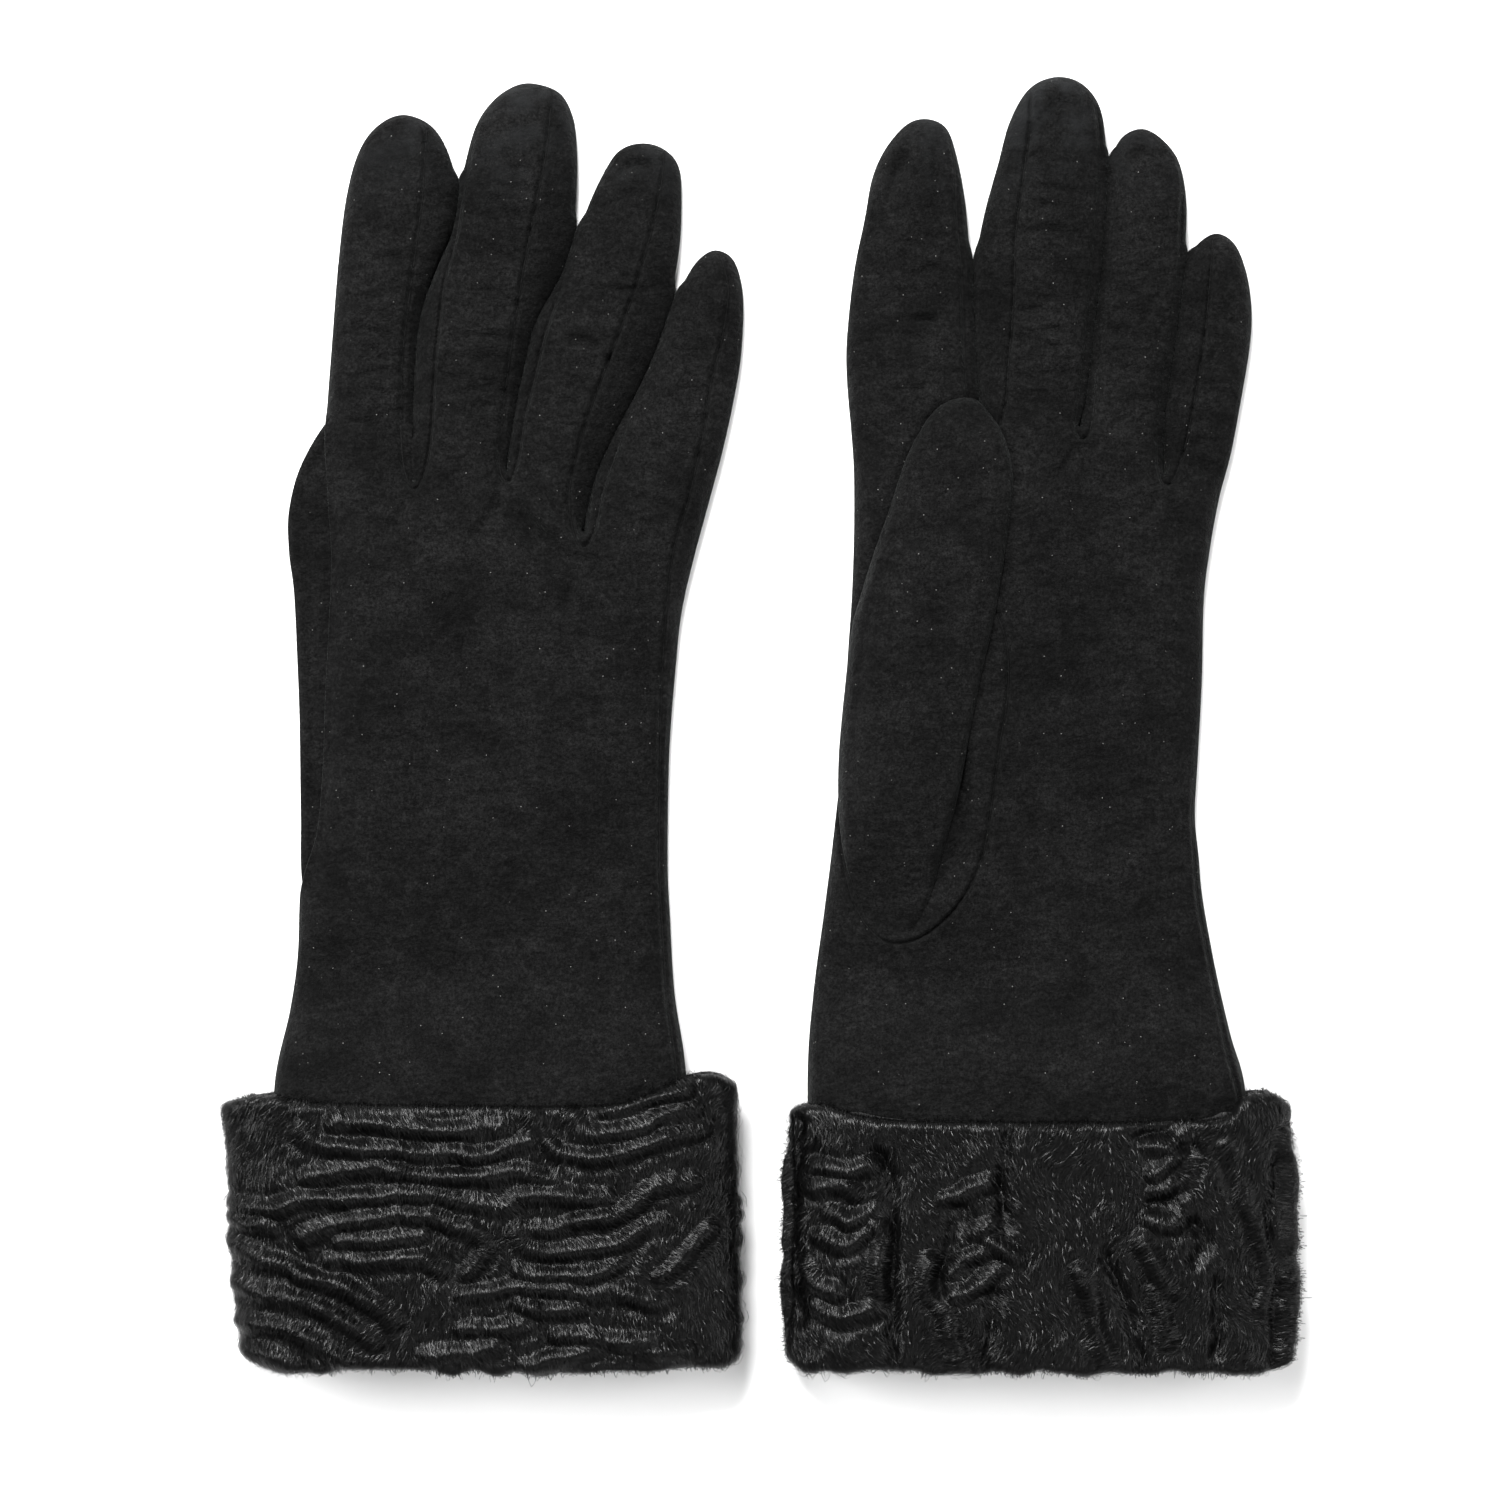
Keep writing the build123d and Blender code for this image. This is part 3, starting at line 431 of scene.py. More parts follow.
# ---- flat plans --------------------------------------------------------------------------------
class Plan:
    """The flat plan of a piece of leather: a triangulated outline, with the seams as edges."""

    def __init__(self, loop, open_edge_y, seams, cuts):
        """loop: the outline. open_edge_y: outline points below this line are an open edge.
        seams: lines with finer mesh beside them. cuts: other lines the mesh is split along."""
        self.loop = loop
        vertices = self._scatter(seams)
        edges = [(k, (k + 1) % len(loop)) for k in range(len(loop))]
        for line in seams + cuts:
            first = len(vertices)
            vertices = np.vstack([vertices, line])
            edges += [(first + k, first + k + 1) for k in range(len(line) - 1)]
        result = delaunay_2d_cdt([tuple(v) for v in vertices], edges, [], 1, 1e-5, True)
        renumber = self._keep_inside(np.array([tuple(v) for v in result[0]]), np.array(result[2]))
        barrier = set()
        on_rim = np.zeros(len(self.points), bool)
        for edge, sources in zip(result[1], result[4]):
            a, b = renumber[edge[0]], renumber[edge[1]]
            if a < 0 or b < 0:
                continue
            if any(source >= len(loop) for source in sources):
                barrier.add((min(a, b), max(a, b)))
            if any(source < len(loop) for source in sources):
                on_rim[[a, b]] = True
        self.rim = on_rim & (self.points[:, 1] >= open_edge_y)
        self.label = self._flood(barrier)

    def _scatter(self, seams):
        """The outline's points, rows of points beside it and its seams, and a grid between."""
        loop = self.loop
        points = [loop]
        kept = np.vstack([loop] + seams)
        for distance in RIM_ROWS:
            ring = np.vstack(side_points(loop, (distance, -distance), closed=True))
            spacing = 0.55 if distance > 0.4 else 0.3
            points.append(self._spaced(ring, kept, 0.8 * distance, spacing, points[1:]))
        for seam in seams:
            beside = np.vstack(side_points(seam, SEAM_ROWS))
            points.append(self._spaced(beside, kept, 0.35, 0.35, points[1:]))
        low, high = loop.min(0), loop.max(0)
        rows = np.arange(low[1], high[1], GRID * ROW_STEP)
        columns = np.arange(low[0], high[0], GRID)
        grid = np.array([(x + (k % 2) * GRID / 2, y) for k, y in enumerate(rows) for x in columns])
        points.append(self._spaced(grid, kept, 0.75, 0.75, points[1:]))
        return np.vstack(points)

    def _keep_inside(self, points, faces):
        """Keeps the faces inside the outline, all facing up. Returns each point's new number."""
        a, b, c = (points[faces[:, k]] for k in range(3))
        u, v = b - a, c - a
        area = u[:, 0] * v[:, 1] - u[:, 1] * v[:, 0]
        faces[area < 0] = faces[area < 0][:, ::-1]
        faces = faces[(np.abs(area) > 1e-7) & inside((a + b + c) / 3, self.loop)]
        used = np.unique(faces)
        renumber = np.full(len(points), -1)
        renumber[used] = np.arange(len(used))
        self.faces = renumber[faces]
        self.points = points[used]
        return renumber

    def _spaced(self, candidates, kept, room, spacing, earlier):
        """The candidates that lie inside, clear of the lines and of each other."""
        good = candidates[inside(candidates, self.loop)]
        away, _ = nearest(good, kept)
        good = good[away > room]
        if earlier:
            away, _ = nearest(good, np.vstack(earlier))
            good = good[away > min(room, spacing)]
        taken = {}
        chosen = []
        for p in good:
            cell = (math.floor(p[0] / spacing), math.floor(p[1] / spacing))
            near = [q for i in (-1, 0, 1) for j in (-1, 0, 1)
                    for q in taken.get((cell[0] + i, cell[1] + j), ())]
            if all((p[0] - q[0]) ** 2 + (p[1] - q[1]) ** 2 > spacing**2 for q in near):
                taken.setdefault(cell, []).append(p)
                chosen.append(p)
        return np.array(chosen).reshape(-1, 2)

    def _flood(self, barrier):
        """A number for each face: faces that join without crossing a seam or a cut share it."""
        parent = list(range(len(self.faces)))

        def find(k):
            while parent[k] != k:
                parent[k] = parent[parent[k]]
                k = parent[k]
            return k

        owner = {}
        for f, face in enumerate(self.faces):
            for a, b in ((face[0], face[1]), (face[1], face[2]), (face[2], face[0])):
                key = (min(a, b), max(a, b))
                if key in barrier:
                    continue
                if key in owner:
                    parent[find(f)] = find(owner[key])
                else:
                    owner[key] = f
        return np.array([find(k) for k in range(len(self.faces))])

    def swell(self, reach):
        """0 on the outline, rising to 1 further in than the reach: a soft dome over the plan.
        It is the balance of an inflated sheet on an elastic bed, solved by conjugate gradients."""
        p, f = self.points, self.faces
        starts, ends, weights = [], [], []
        area = np.zeros(len(p))
        for k in range(3):
            a, b, c = f[:, k], f[:, (k + 1) % 3], f[:, (k + 2) % 3]
            u, v = p[a] - p[c], p[b] - p[c]
            cross = np.abs(u[:, 0] * v[:, 1] - u[:, 1] * v[:, 0]) + 1e-9
            weight = np.clip(0.5 * (u * v).sum(1) / cross, 0.0, 20)
            starts += [a, b]
            ends += [b, a]
            weights += [weight, weight]
            np.add.at(area, a, cross / 6)
        start, end, weight = np.concatenate(starts), np.concatenate(ends), np.concatenate(weights)
        diagonal = np.bincount(start, weight, len(p)) + area / reach**2
        free = ~self.rim
        height = np.zeros(len(p))
        left = free * area
        step = left / diagonal
        ahead = step.copy()
        size = left @ step
        for _ in range(400):
            pull = np.bincount(start, weight * ahead[end], len(p))
            change = free * (diagonal * ahead - pull)
            gain = size / (ahead @ change)
            height += gain * ahead
            left -= gain * change
            if np.abs(left).max() < 1e-5:
                break
            step = left / diagonal
            new_size = left @ step
            ahead = step + (new_size / size) * ahead
            size = new_size
        return np.clip(height / reach**2, 0, 1)


def close_slits(points, runs):
    """Moves the leather on both sides of each gap between fingers together, where they touch."""
    moved = points.copy()
    for left, right in zip(runs, runs[1:]):
        for side, other in ((left, right), (right, left)):
            gap, which = nearest(side, other)
            touch = smoothstep(-gap, -APART, -TOUCHING)
            shift = (other[which] - side) * (0.5 + 0.15 / np.maximum(gap, 0.3))[:, None]
            shift *= touch[:, None]
            close, at = nearest(points, side)
            far, _ = nearest(points, other)
            fall = bell(close, 0, TOUCHING) * (close <= far + 1e-6)
            moved += shift[at] * fall[:, None]
    return moved


def crossing(origin, direction, loop):
    """How far along a ray the outline first crosses it."""
    a, b = loop, np.roll(loop, -1, axis=0)
    d = b - a
    from_origin = a - origin
    cross = direction[0] * d[:, 1] - direction[1] * d[:, 0]
    cross = np.where(np.abs(cross) < 1e-12, 1e-12, cross)
    t = (from_origin[:, 0] * d[:, 1] - from_origin[:, 1] * d[:, 0]) / cross
    u = (from_origin[:, 0] * direction[1] - from_origin[:, 1] * direction[0]) / cross
    return t[(t > 0) & (u >= 0) & (u <= 1)].min()


# ---- meshes ------------------------------------------------------------------------------------
def vertex_normals(vertices, faces):
    """Area-weighted normals, one per vertex."""
    normals = np.zeros_like(vertices)
    a, b, c = vertices[faces[:, 0]], vertices[faces[:, 1]], vertices[faces[:, 2]]
    face = np.cross(b - a, c - a)
    for k in range(3):
        np.add.at(normals, faces[:, k], face)
    return unit(normals)


def grid_faces(n, m, around_n=False, around_m=False):
    """Quads over an n by m grid of vertices, closed in the directions that go all the way round."""
    i = np.arange(n if around_n else n - 1)[:, None]
    j = np.arange(m if around_m else m - 1)[None, :]
    i_next, j_next = (i + 1) % n, (j + 1) % m
    corners = [i * m + j, i_next * m + j, i_next * m + j_next, i * m + j_next]
    return np.stack(corners, axis=2).reshape(-1, 4)


def turned_over(quads):
    """The same quads facing the other way, each from the same first corner."""
    return quads[:, [0, 3, 2, 1]]


def add_mesh(name, vertices, faces, material, normals=None):
    """A smooth mesh object from points in millimetres."""
    mesh = bpy.data.meshes.new(name)
    mesh.vertices.add(len(vertices))
    mesh.vertices.foreach_set("co", (np.asarray(vertices, float) * MM).ravel())
    sides = faces.shape[1]
    mesh.loops.add(faces.size)
    mesh.loops.foreach_set("vertex_index", faces.ravel())
    mesh.polygons.add(len(faces))
    mesh.polygons.foreach_set("loop_start", np.arange(0, faces.size, sides))
    mesh.update(calc_edges=True)
    mesh.polygons.foreach_set("use_smooth", np.ones(len(faces), bool))
    if normals is not None:
        mesh.normals_split_custom_set_from_vertices(normals)
    mesh.materials.append(material)
    piece = bpy.data.objects.new(name, mesh)
    bpy.context.scene.collection.objects.link(piece)
    return piece


def part_of(vertices, faces, normals, chosen):
    """The chosen faces with only their own vertices."""
    picked = faces[chosen]
    used, renumbered = np.unique(picked, return_inverse=True)
    return vertices[used], renumbered.reshape(picked.shape), normals[used]


# ---- materials ---------------------------------------------------------------------------------
class Nodes:
    """A short way to write a material's nodes."""

    def __init__(self, name, **sockets):
        self.material = bpy.data.materials.new(name)
        self.material.use_nodes = True
        self.tree = self.material.node_tree
        self.shader = self.tree.nodes["Principled BSDF"]
        for socket, value in sockets.items():
            self.shader.inputs[socket.replace("_", " ")].default_value = value
        self.place = self.add("ShaderNodeTexCoord").outputs["Object"]

    def add(self, kind, **values):
        node = self.tree.nodes.new(kind)
        for key, value in values.items():
            if key in node.inputs:
                node.inputs[key].default_value = value
            else:
                setattr(node, key, value)
        return node

    def link(self, source, target):
        self.tree.links.new(source, target)

    def noise(self, scale, detail=4.0, roughness=0.55, stretch=None):
        node = self.add("ShaderNodeTexNoise", Scale=scale, Detail=detail, Roughness=roughness)
        place = self.place
        if stretch:
            mapping = self.add("ShaderNodeMapping", Scale=stretch)
            self.link(place, mapping.inputs["Vector"])
            place = mapping.outputs["Vector"]
        self.link(place, node.inputs["Vector"])
        return node.outputs["Fac"]

    def ramp(self, source, *stops):
        node = self.add("ShaderNodeValToRGB")
        elements = node.color_ramp.elements
        while len(elements) < len(stops):
            elements.new(0.5)
        for element, (position, value) in zip(elements, stops):
            element.position = position
            color = value if isinstance(value, tuple) else (value, value, value)
            element.color = (*color, 1)
        self.link(source, node.inputs["Fac"])
        return node.outputs["Color"]

    def mix(self, factor, low, high, mode="MIX"):
        node = self.add("ShaderNodeMix", data_type="RGBA", blend_type=mode)
        for source, target in ((factor, node.inputs[0]), (low, node.inputs[6]),
                               (high, node.inputs[7])):
            if isinstance(source, (int, float)):
                target.default_value = source
            elif isinstance(source, tuple):
                target.default_value = (*source, 1)
            else:
                self.link(source, target)
        return node.outputs[2]

    def bump(self, height, strength, distance, under=None):
        node = self.add("ShaderNodeBump", Strength=strength, Distance=distance)
        self.link(height, node.inputs["Height"])
        if under:
            self.link(under, node.inputs["Normal"])
        return node.outputs["Normal"]


def suede(name, dark, light, lint):
    """Black suede: a matte nap with brushed patches, fine grain and a few specks of lint."""
    m = Nodes(name, Roughness=0.88, Specular_IOR_Level=0.055, Sheen_Weight=0.035,
              Sheen_Roughness=0.35, Sheen_Tint=(0.85, 0.9, 0.88, 1))
    patches = m.noise(75, 6, 0.68, (1.0, 1.25, 1.0))
    nap = m.noise(2100, 3, 0.75, (1.0, 0.8, 1.0))
    streaks = m.noise(640, 4, 0.6, (0.7, 1.3, 1.0))
    tufts = m.noise(950, 3, 0.7, (0.9, 1.1, 1.0))
    base = m.ramp(patches, (0.36, dark), (0.62, light))
    grain = m.ramp(nap, (0.36, 0.22), (0.64, 1.0))
    clumps = m.ramp(tufts, (0.38, 0.50), (0.62, 1.0))
    brushed = m.ramp(streaks, (0.38, 0.66), (0.60, 1.0))
    color = base
    for shade in (grain, clumps, brushed):
        color = m.mix(1.0, color, shade, "MULTIPLY")
    # fingertips lighter and bluish grey in patches: rubbed nap, with a painted sheen
    height = m.add("ShaderNodeSeparateXYZ")
    m.link(m.place, height.inputs["Vector"])
    tips = m.ramp(height.outputs["Y"], (0.112, 0.0), (0.140, 1.0))
    rubbed_and_sheen = m.ramp(m.noise(120, 4, 0.6), (0.42, 0.0), (0.60, 0.8))
    color = m.mix(m.mix(1.0, tips, rubbed_and_sheen, "MULTIPLY"), color, (0.011, 0.0115, 0.012))
    cells = m.add("ShaderNodeTexVoronoi", Scale=500.0, Randomness=1.0)
    m.link(m.place, cells.inputs["Vector"])
    speck = m.ramp(cells.outputs["Distance"], (0.045, 1.0), (0.07, 0.0))
    few = m.ramp(cells.outputs["Color"], (1 - lint, 0.0), (1 - lint + 0.01, 1.0))
    specks = m.mix(1.0, speck, few, "MULTIPLY")
    m.link(m.mix(specks, color, (0.12, 0.12, 0.115)), m.shader.inputs["Base Color"])
    coarse = m.bump(m.noise(300, 5, 0.68, (0.8, 1.25, 1.0)), 1.0, 0.0011)
    m.link(m.bump(nap, 0.6, 0.00012, coarse), m.shader.inputs["Normal"])
    return m.material


def lamb_hair(name, light):
    """Glossy black hair, uneven from lock to lock."""
    m = Nodes(name, Roughness=0.30, Specular_IOR_Level=0.18)
    locks = m.ramp(m.noise(160, 4, 0.6), (0.3, 0.0012), (0.75, light))
    strands = m.ramp(m.noise(2600, 2), (0.38, 0.25), (0.62, 1.0))
    base = m.mix(1.0, locks, strands, "MULTIPLY")
    m.link(base, m.shader.inputs["Base Color"])
    m.link(m.ramp(m.noise(900, 3), (0.3, 0.24), (0.7, 0.38)), m.shader.inputs["Roughness"])
    return m.material


def lamb_pelt(name):
    """The skin and underwool between the locks: dark, streaked and dull."""
    m = Nodes(name, Roughness=0.6, Specular_IOR_Level=0.12)
    base = m.ramp(m.noise(240, 5, 0.65), (0.3, 0.001), (0.75, 0.003))
    m.link(base, m.shader.inputs["Base Color"])
    m.link(m.bump(m.noise(1300, 4, 0.7), 0.8, 0.0004), m.shader.inputs["Normal"])
    return m.material


def facing_leather(name):
    """Dull smooth leather lining, with pores and handling marks."""
    m = Nodes(name, Roughness=0.6, Specular_IOR_Level=0.3)
    base = m.ramp(m.noise(90, 5), (0.3, 0.008), (0.75, 0.02))
    m.link(base, m.shader.inputs["Base Color"])
    pores = m.bump(m.noise(1600, 3), 0.5, 0.00015)
    m.link(m.bump(m.noise(220, 3), 0.3, 0.0004, pores), m.shader.inputs["Normal"])
    return m.material


def thread(name):
    """Twisted sewing thread, a little shinier than the suede."""
    m = Nodes(name, Roughness=0.7, Specular_IOR_Level=0.15)
    twist = m.noise(2600, 2)
    m.link(m.ramp(twist, (0.3, 0.0015), (0.7, 0.005)), m.shader.inputs["Base Color"])
    m.link(m.bump(twist, 0.5, 0.0001), m.shader.inputs["Normal"])
    return m.material


def paper(name):
    """The pale floor."""
    m = Nodes(name, Roughness=0.9, Specular_IOR_Level=0.1)
    m.link(m.ramp(m.noise(6, 3), (0.2, 0.88), (0.8, 0.93)), m.shader.inputs["Base Color"])
    return m.material


SUEDE = suede("suede", 0.0054, 0.0126, 0.45)
# the fourchettes' suede is darker than the rest: a painted shade between the fingers
FOURCHETTE_SUEDE_PAINTED_SHADE = suede("fourchette_suede", 0.0042, 0.0098, 0.30)
HAIR = lamb_hair("lamb_fur", 0.0040)
PELT = lamb_pelt("lamb_pelt")
FACING = facing_leather("facing_leather")
THREAD = thread("thread")


# ---- the gloves' leather -----------------------------------------------------------------------
def knuckles(hand):
    """Each finger's knuckle and direction in the plan, from the part's own joints."""
    result = {}
    for joint in frame["joints"]:
        for finger in FINGERS:
            if joint["name"] == f"{hand}_{finger}_bend":
                x, y, _ = joint["pos_m"]
                ax, ay, _ = joint["axis"]
                d = np.array([-ay, ax])
                if d[1] < 0:
                    d = -d
                result[finger] = (np.array([x, y]) / MM, d)
    return result


def outline_loop(glove):
    """The closed outline of the hand and fingers, down to the mouth."""
    runs = [curve_through(run, LINE_STEP) for run in glove["outline"]]
    start, end = runs[0][0], runs[-1][-1]
    down = resample([start, (start[0], MOUTH_Y)], LINE_STEP)[::-1][:-1]
    up = resample([end, (end[0], MOUTH_Y)], LINE_STEP)[1:]
    bottom = resample([up[-1], down[0]], 1.5 * LINE_STEP)[1:-1]
    loop = [down] + [run[:-1] for run in runs] + [runs[-1][-1:], up, bottom]
    return np.vstack(loop)[::-1]


def past_ends(line, extra):
    """The line with both ends pushed on a little, so that it meets the outline."""
    before, after = line[0] - line[1], line[-1] - line[-2]
    first = line[0] + before / np.linalg.norm(before) * extra
    last = line[-1] + after / np.linalg.norm(after) * extra
    return np.vstack([first, line, last])


def crease_lines(glove, joints, seed):
    """Short cross folds at the finger joints: (line, depth, width)."""
    random = np.random.default_rng(seed)
    lines = []
    for finger in FINGERS:
        knuckle, d = joints[finger]
        across = np.array([d[1], -d[0]])
        for joint_y in glove["joints_at"][finger]:
            middle = knuckle + d * (joint_y - knuckle[1]) / d[1]
            for _ in range(CREASES):
                centre = middle + d * random.normal(0, 3.4) + across * random.uniform(-4.5, 4.5)
                half = random.uniform(1.4, 5.0)
                tilt = random.normal(0, 0.22)
                reach = (across + d * tilt) * half
                sag = d * random.normal(0, 0.5)
                line = np.array([centre - reach, centre + sag, centre + reach])
                depth = random.uniform(0.3, 0.95) * random.choice((1, 1, -0.7))
                width = random.uniform(0.4, 0.8)
                lines.append((curve_through(line, LINE_STEP), depth, width))
    return lines


def fold_height(points, line, depth, width):
    """A soft groove along a line (a ridge if depth is negative), fading at both ends."""
    low, high = line.min(0) - 4 * width, line.max(0) + 4 * width
    near = np.all((points > low) & (points < high), axis=1)
    height = np.zeros(len(points))
    if not near.any():
        return height
    away, along = line_distance(points[near], line)
    length = np.linalg.norm(np.diff(line, axis=0), axis=1).sum()
    fade = np.sin(np.pi * np.clip(along / length, 0.02, 0.98)) ** 0.7
    height[near] = -depth * fade * bell(away, 0, width)
    return height


STITCH = 2.6              # length of a stitch
THREAD_RADIUS = 0.12
THREAD_STEP = 0.45        # spacing of the thread's rings


def seam_height(points, seam, seed):
    """A sewn seam: a narrow groove between two low welts, puckered by the stitches."""
    away, along = line_distance(points, seam)
    groove = -1.15 * bell(away, 0, 0.36)
    welt = 0.40 * bell(away, 1.0, 0.55)
    pucker = 0.13 * bell(away, 1.1, 1.1) * np.sin(2 * np.pi * along / STITCH)
    drift = noise(along / 7, np.zeros_like(along), seed)
    return groove + welt * (1 + 0.4 * drift) + pucker


def leather_noise(points, seed):
    """Soft dents and fine wrinkles of handled leather."""
    x, y = points[:, 0], points[:, 1]
    dents = 0.55 * rough_noise(x / 13, y / 17, seed, 2)
    wrinkles = 0.24 * rough_noise(x / 4.5, y / 1.9, seed + 7, 2)
    return dents + wrinkles


def signed_inside(points, loop):
    """Distance to a closed loop, positive inside it."""
    away, _ = line_distance(points, np.vstack([loop, loop[:1]]))
    return np.where(inside(points, loop), away, -away)


def lift_at(y):
    """How far the leather is raised where it runs up into its cuff."""
    return LIFT * smoothstep(-y, -FLAT_END_Y, -RISE_END_Y)


def hand_heights(glove, plan, seams, joints, thumb_depth):
    """Heights of the upper and lower leather over the plan."""
    p = plan.points
    y = p[:, 1]
    near, far = plan.swell(3.6), plan.swell(13.0)
    lift = lift_at(y)
    wrist = smoothstep(-y, 46, 84)
    plump = near ** (0.60 - 0.10 * wrist)
    rise = 4.3 + 3.2 * wrist
    top = RIM_Z + lift + rise * plump + 2.3 * np.sqrt(far)
    bottom = RIM_Z + lift - (1.85 + 0.3 * wrist) * np.clip(near * 3.0, 0, 1) ** 0.5
    if glove["palm_up"]:
        # the thumb lies on the palm and presses it in
        top -= 1.6 * smoothstep(thumb_depth, -2.0, 3.0)
    else:
        # the thumb lies under the palm and lifts the hand
        top += 0.9 * smoothstep(thumb_depth, -5.0, 7.0)
        bottom += (4.9 - bottom) * smoothstep(thumb_depth, -2.5, 1.2)
        top = np.maximum(top, bottom + 0.9 * near**0.3)
    relief = np.zeros(len(p))
    for k, seam in enumerate(seams):
        relief += seam_height(p, seam, 40 + k)
    for line, depth, width in crease_lines(glove, joints, glove["seeds"]["creases"]):
        relief += fold_height(p, line, depth, width)
    for points, depth, width in glove["folds"]:
        relief += fold_height(p, curve_through(points, 1.0), FOLD_DEPTH * depth, width)
    relief += leather_noise(p, glove["seeds"]["leather"])
    inner = smoothstep(near, 0.0, 0.5)
    top += relief * inner
    bottom += 0.12 * leather_noise(p, 77) * inner
    meeting = 0.5 * (top + bottom)
    top = np.where(plan.rim, meeting, np.maximum(top, bottom + 0.25))
    bottom = np.where(plan.rim, meeting, bottom)
    return top, np.maximum(bottom, 0.2 + lift * 0.98)


def double_sheet(plan, points, top, bottom):
    """Upper and lower leather as one mesh that shares the outline's vertices."""
    rim = np.flatnonzero(plan.rim)
    index = np.arange(len(points), 2 * len(points))
    index[rim] = rim
    vertices = np.vstack([np.column_stack([points, top]), np.column_stack([points, bottom])])
    faces = np.vstack([plan.faces, index[plan.faces][:, ::-1]])
    return vertices, faces


def name_regions(glove, plan, joints, gusset):
    """What each region of the plan is: hand, gusset, side, a finger, or a leg of a fourchette."""
    middles = plan.points[plan.faces].mean(1)
    names = {}
    in_gusset = inside(middles, gusset)
    known = {"hand": np.array([glove["middle"], 0.0])}
    known.update({finger: joints[finger][0] for finger in FINGERS})
    for name, point in known.items():
        names[plan.label[np.argmin(np.linalg.norm(middles - point, axis=1))]] = name
    crotches = [np.array(run[0]) for run in glove["outline"][1:]]
    for label in np.unique(plan.label):
        if label in names:
            continue
        chosen = plan.label == label
        centre = middles[chosen].mean(0)
        if in_gusset[chosen].mean() > 0.5:
            names[label] = "gusset"
            continue
        best = None
        for k, finger in enumerate(FINGERS):
            knuckle, d = joints[finger]
            along = (centre - knuckle) @ d
            aside = (centre - knuckle) @ np.array([d[1], -d[0]])
            own = inside(middles[chosen], np.array(glove["outline"][k])).mean()
            if along > -SPLIT_BELOW and own > 0.5:
                best = (k, aside)
        if best is None:
            away = [np.linalg.norm(centre - c) for c in crotches]
            k = int(np.argmin(away))
            names[label] = f"fork_{FINGERS[k]}_{FINGERS[k + 1]}" if away[k] < 14 else "side"
        else:
            k, aside = best
            other = k + (1 if aside > 0 else -1)
            if 0 <= other < 4:
                names[label] = f"{FINGERS[k]}_fourchette_{FINGERS[other]}_side"
            else:
                names[label] = f"{FINGERS[k]}_side"
    return np.array([names[label] for label in plan.label])


def place(piece, hand, name, joints):
    """Makes a piece ride on its hand's body, or, for a finger's own piece, bakes its place into its
    mesh.
    """
    finger = name.split("_")[0]
    if finger in FINGERS and not name.startswith("fork"):
        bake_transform(piece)
    else:
        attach(piece, f"{hand}_hand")


def finger_cuts(joints, loop):
    """The lines across the fingers where their leather is split from the hand's."""
    cuts = []
    for finger in FINGERS:
        knuckle, d = joints[finger]
        origin = knuckle - SPLIT_BELOW * d
        across = np.array([d[1], -d[0]])
        left, right = crossing(origin, -across, loop), crossing(origin, across, loop)
        ends = [origin - across * (left + 0.12), origin + across * (right + 0.12)]
        cuts.append(resample(ends, 1.0))
    return cuts


def make_hand(glove, thumb_loop):
    """The hand and finger leather of one glove, panel by panel. Returns its plan and top."""
    hand = glove["hand"]
    palm_up = glove["palm_up"]
    joints = knuckles(hand)
    loop = outline_loop(glove)
    seams = [past_ends(curve_through(line, LINE_STEP), 1.5) for line in glove["forks"]]
    seams.append(past_ends(curve_through(glove["side"], LINE_STEP), 1.5))
    gusset = curve_through(glove["gusset"], LINE_STEP, closed=True)[:-1]
    seams.append(np.vstack([gusset, gusset[:1]]))
    plan = Plan(loop, MOUTH_Y + 0.3, seams, finger_cuts(joints, loop))
    shown = seams if palm_up else seams[:4]
    top, bottom = hand_heights(glove, plan, shown, joints, signed_inside(plan.points, thumb_loop))
    runs = [curve_through(run, LINE_STEP) for run in glove["outline"]]
    vertices, faces = double_sheet(plan, close_slits(plan.points, runs), top, bottom)
    normals = vertex_normals(vertices, faces)
    region = name_regions(glove, plan, joints, gusset)
    regions = np.concatenate([region, region])
    upper = np.arange(len(faces)) < len(plan.faces)

    def piece(name, chosen, material=SUEDE, slot="suede"):
        v, f, n = part_of(vertices, faces, normals, chosen)
        made = add_mesh(f"{hand}_{name}_leather", v, f, material, n)
        place(made, hand, name, joints)
        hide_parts(f"{hand}_{name}")

    make_seam_threads(glove, joints, shown, plan, top)
    up, down = ("palm", "back") if palm_up else ("back", "palm")
    oval = regions == "gusset"
    body = regions == "hand"
    oval_side = upper if palm_up else ~upper
    piece(f"{up}_panel", (body | oval & ~oval_side) & upper)
    piece(f"{down}_panel", (body | oval & ~oval_side) & ~upper | (regions == "side"))
    piece("thumb_gusset", oval & oval_side)
    for name in np.unique(region):
        if name.startswith("fork") or "fourchette" in name:
            # the darker suede paints the shade between the fingers
            piece(name, regions == name, FOURCHETTE_SUEDE_PAINTED_SHADE, "fourchette_suede")
    for finger in FINGERS:
        own = regions == finger
        piece(f"{finger}_{up}", own & upper)
        piece(f"{finger}_{down}", own & ~upper | (regions == f"{finger}_side"))
    return plan, top


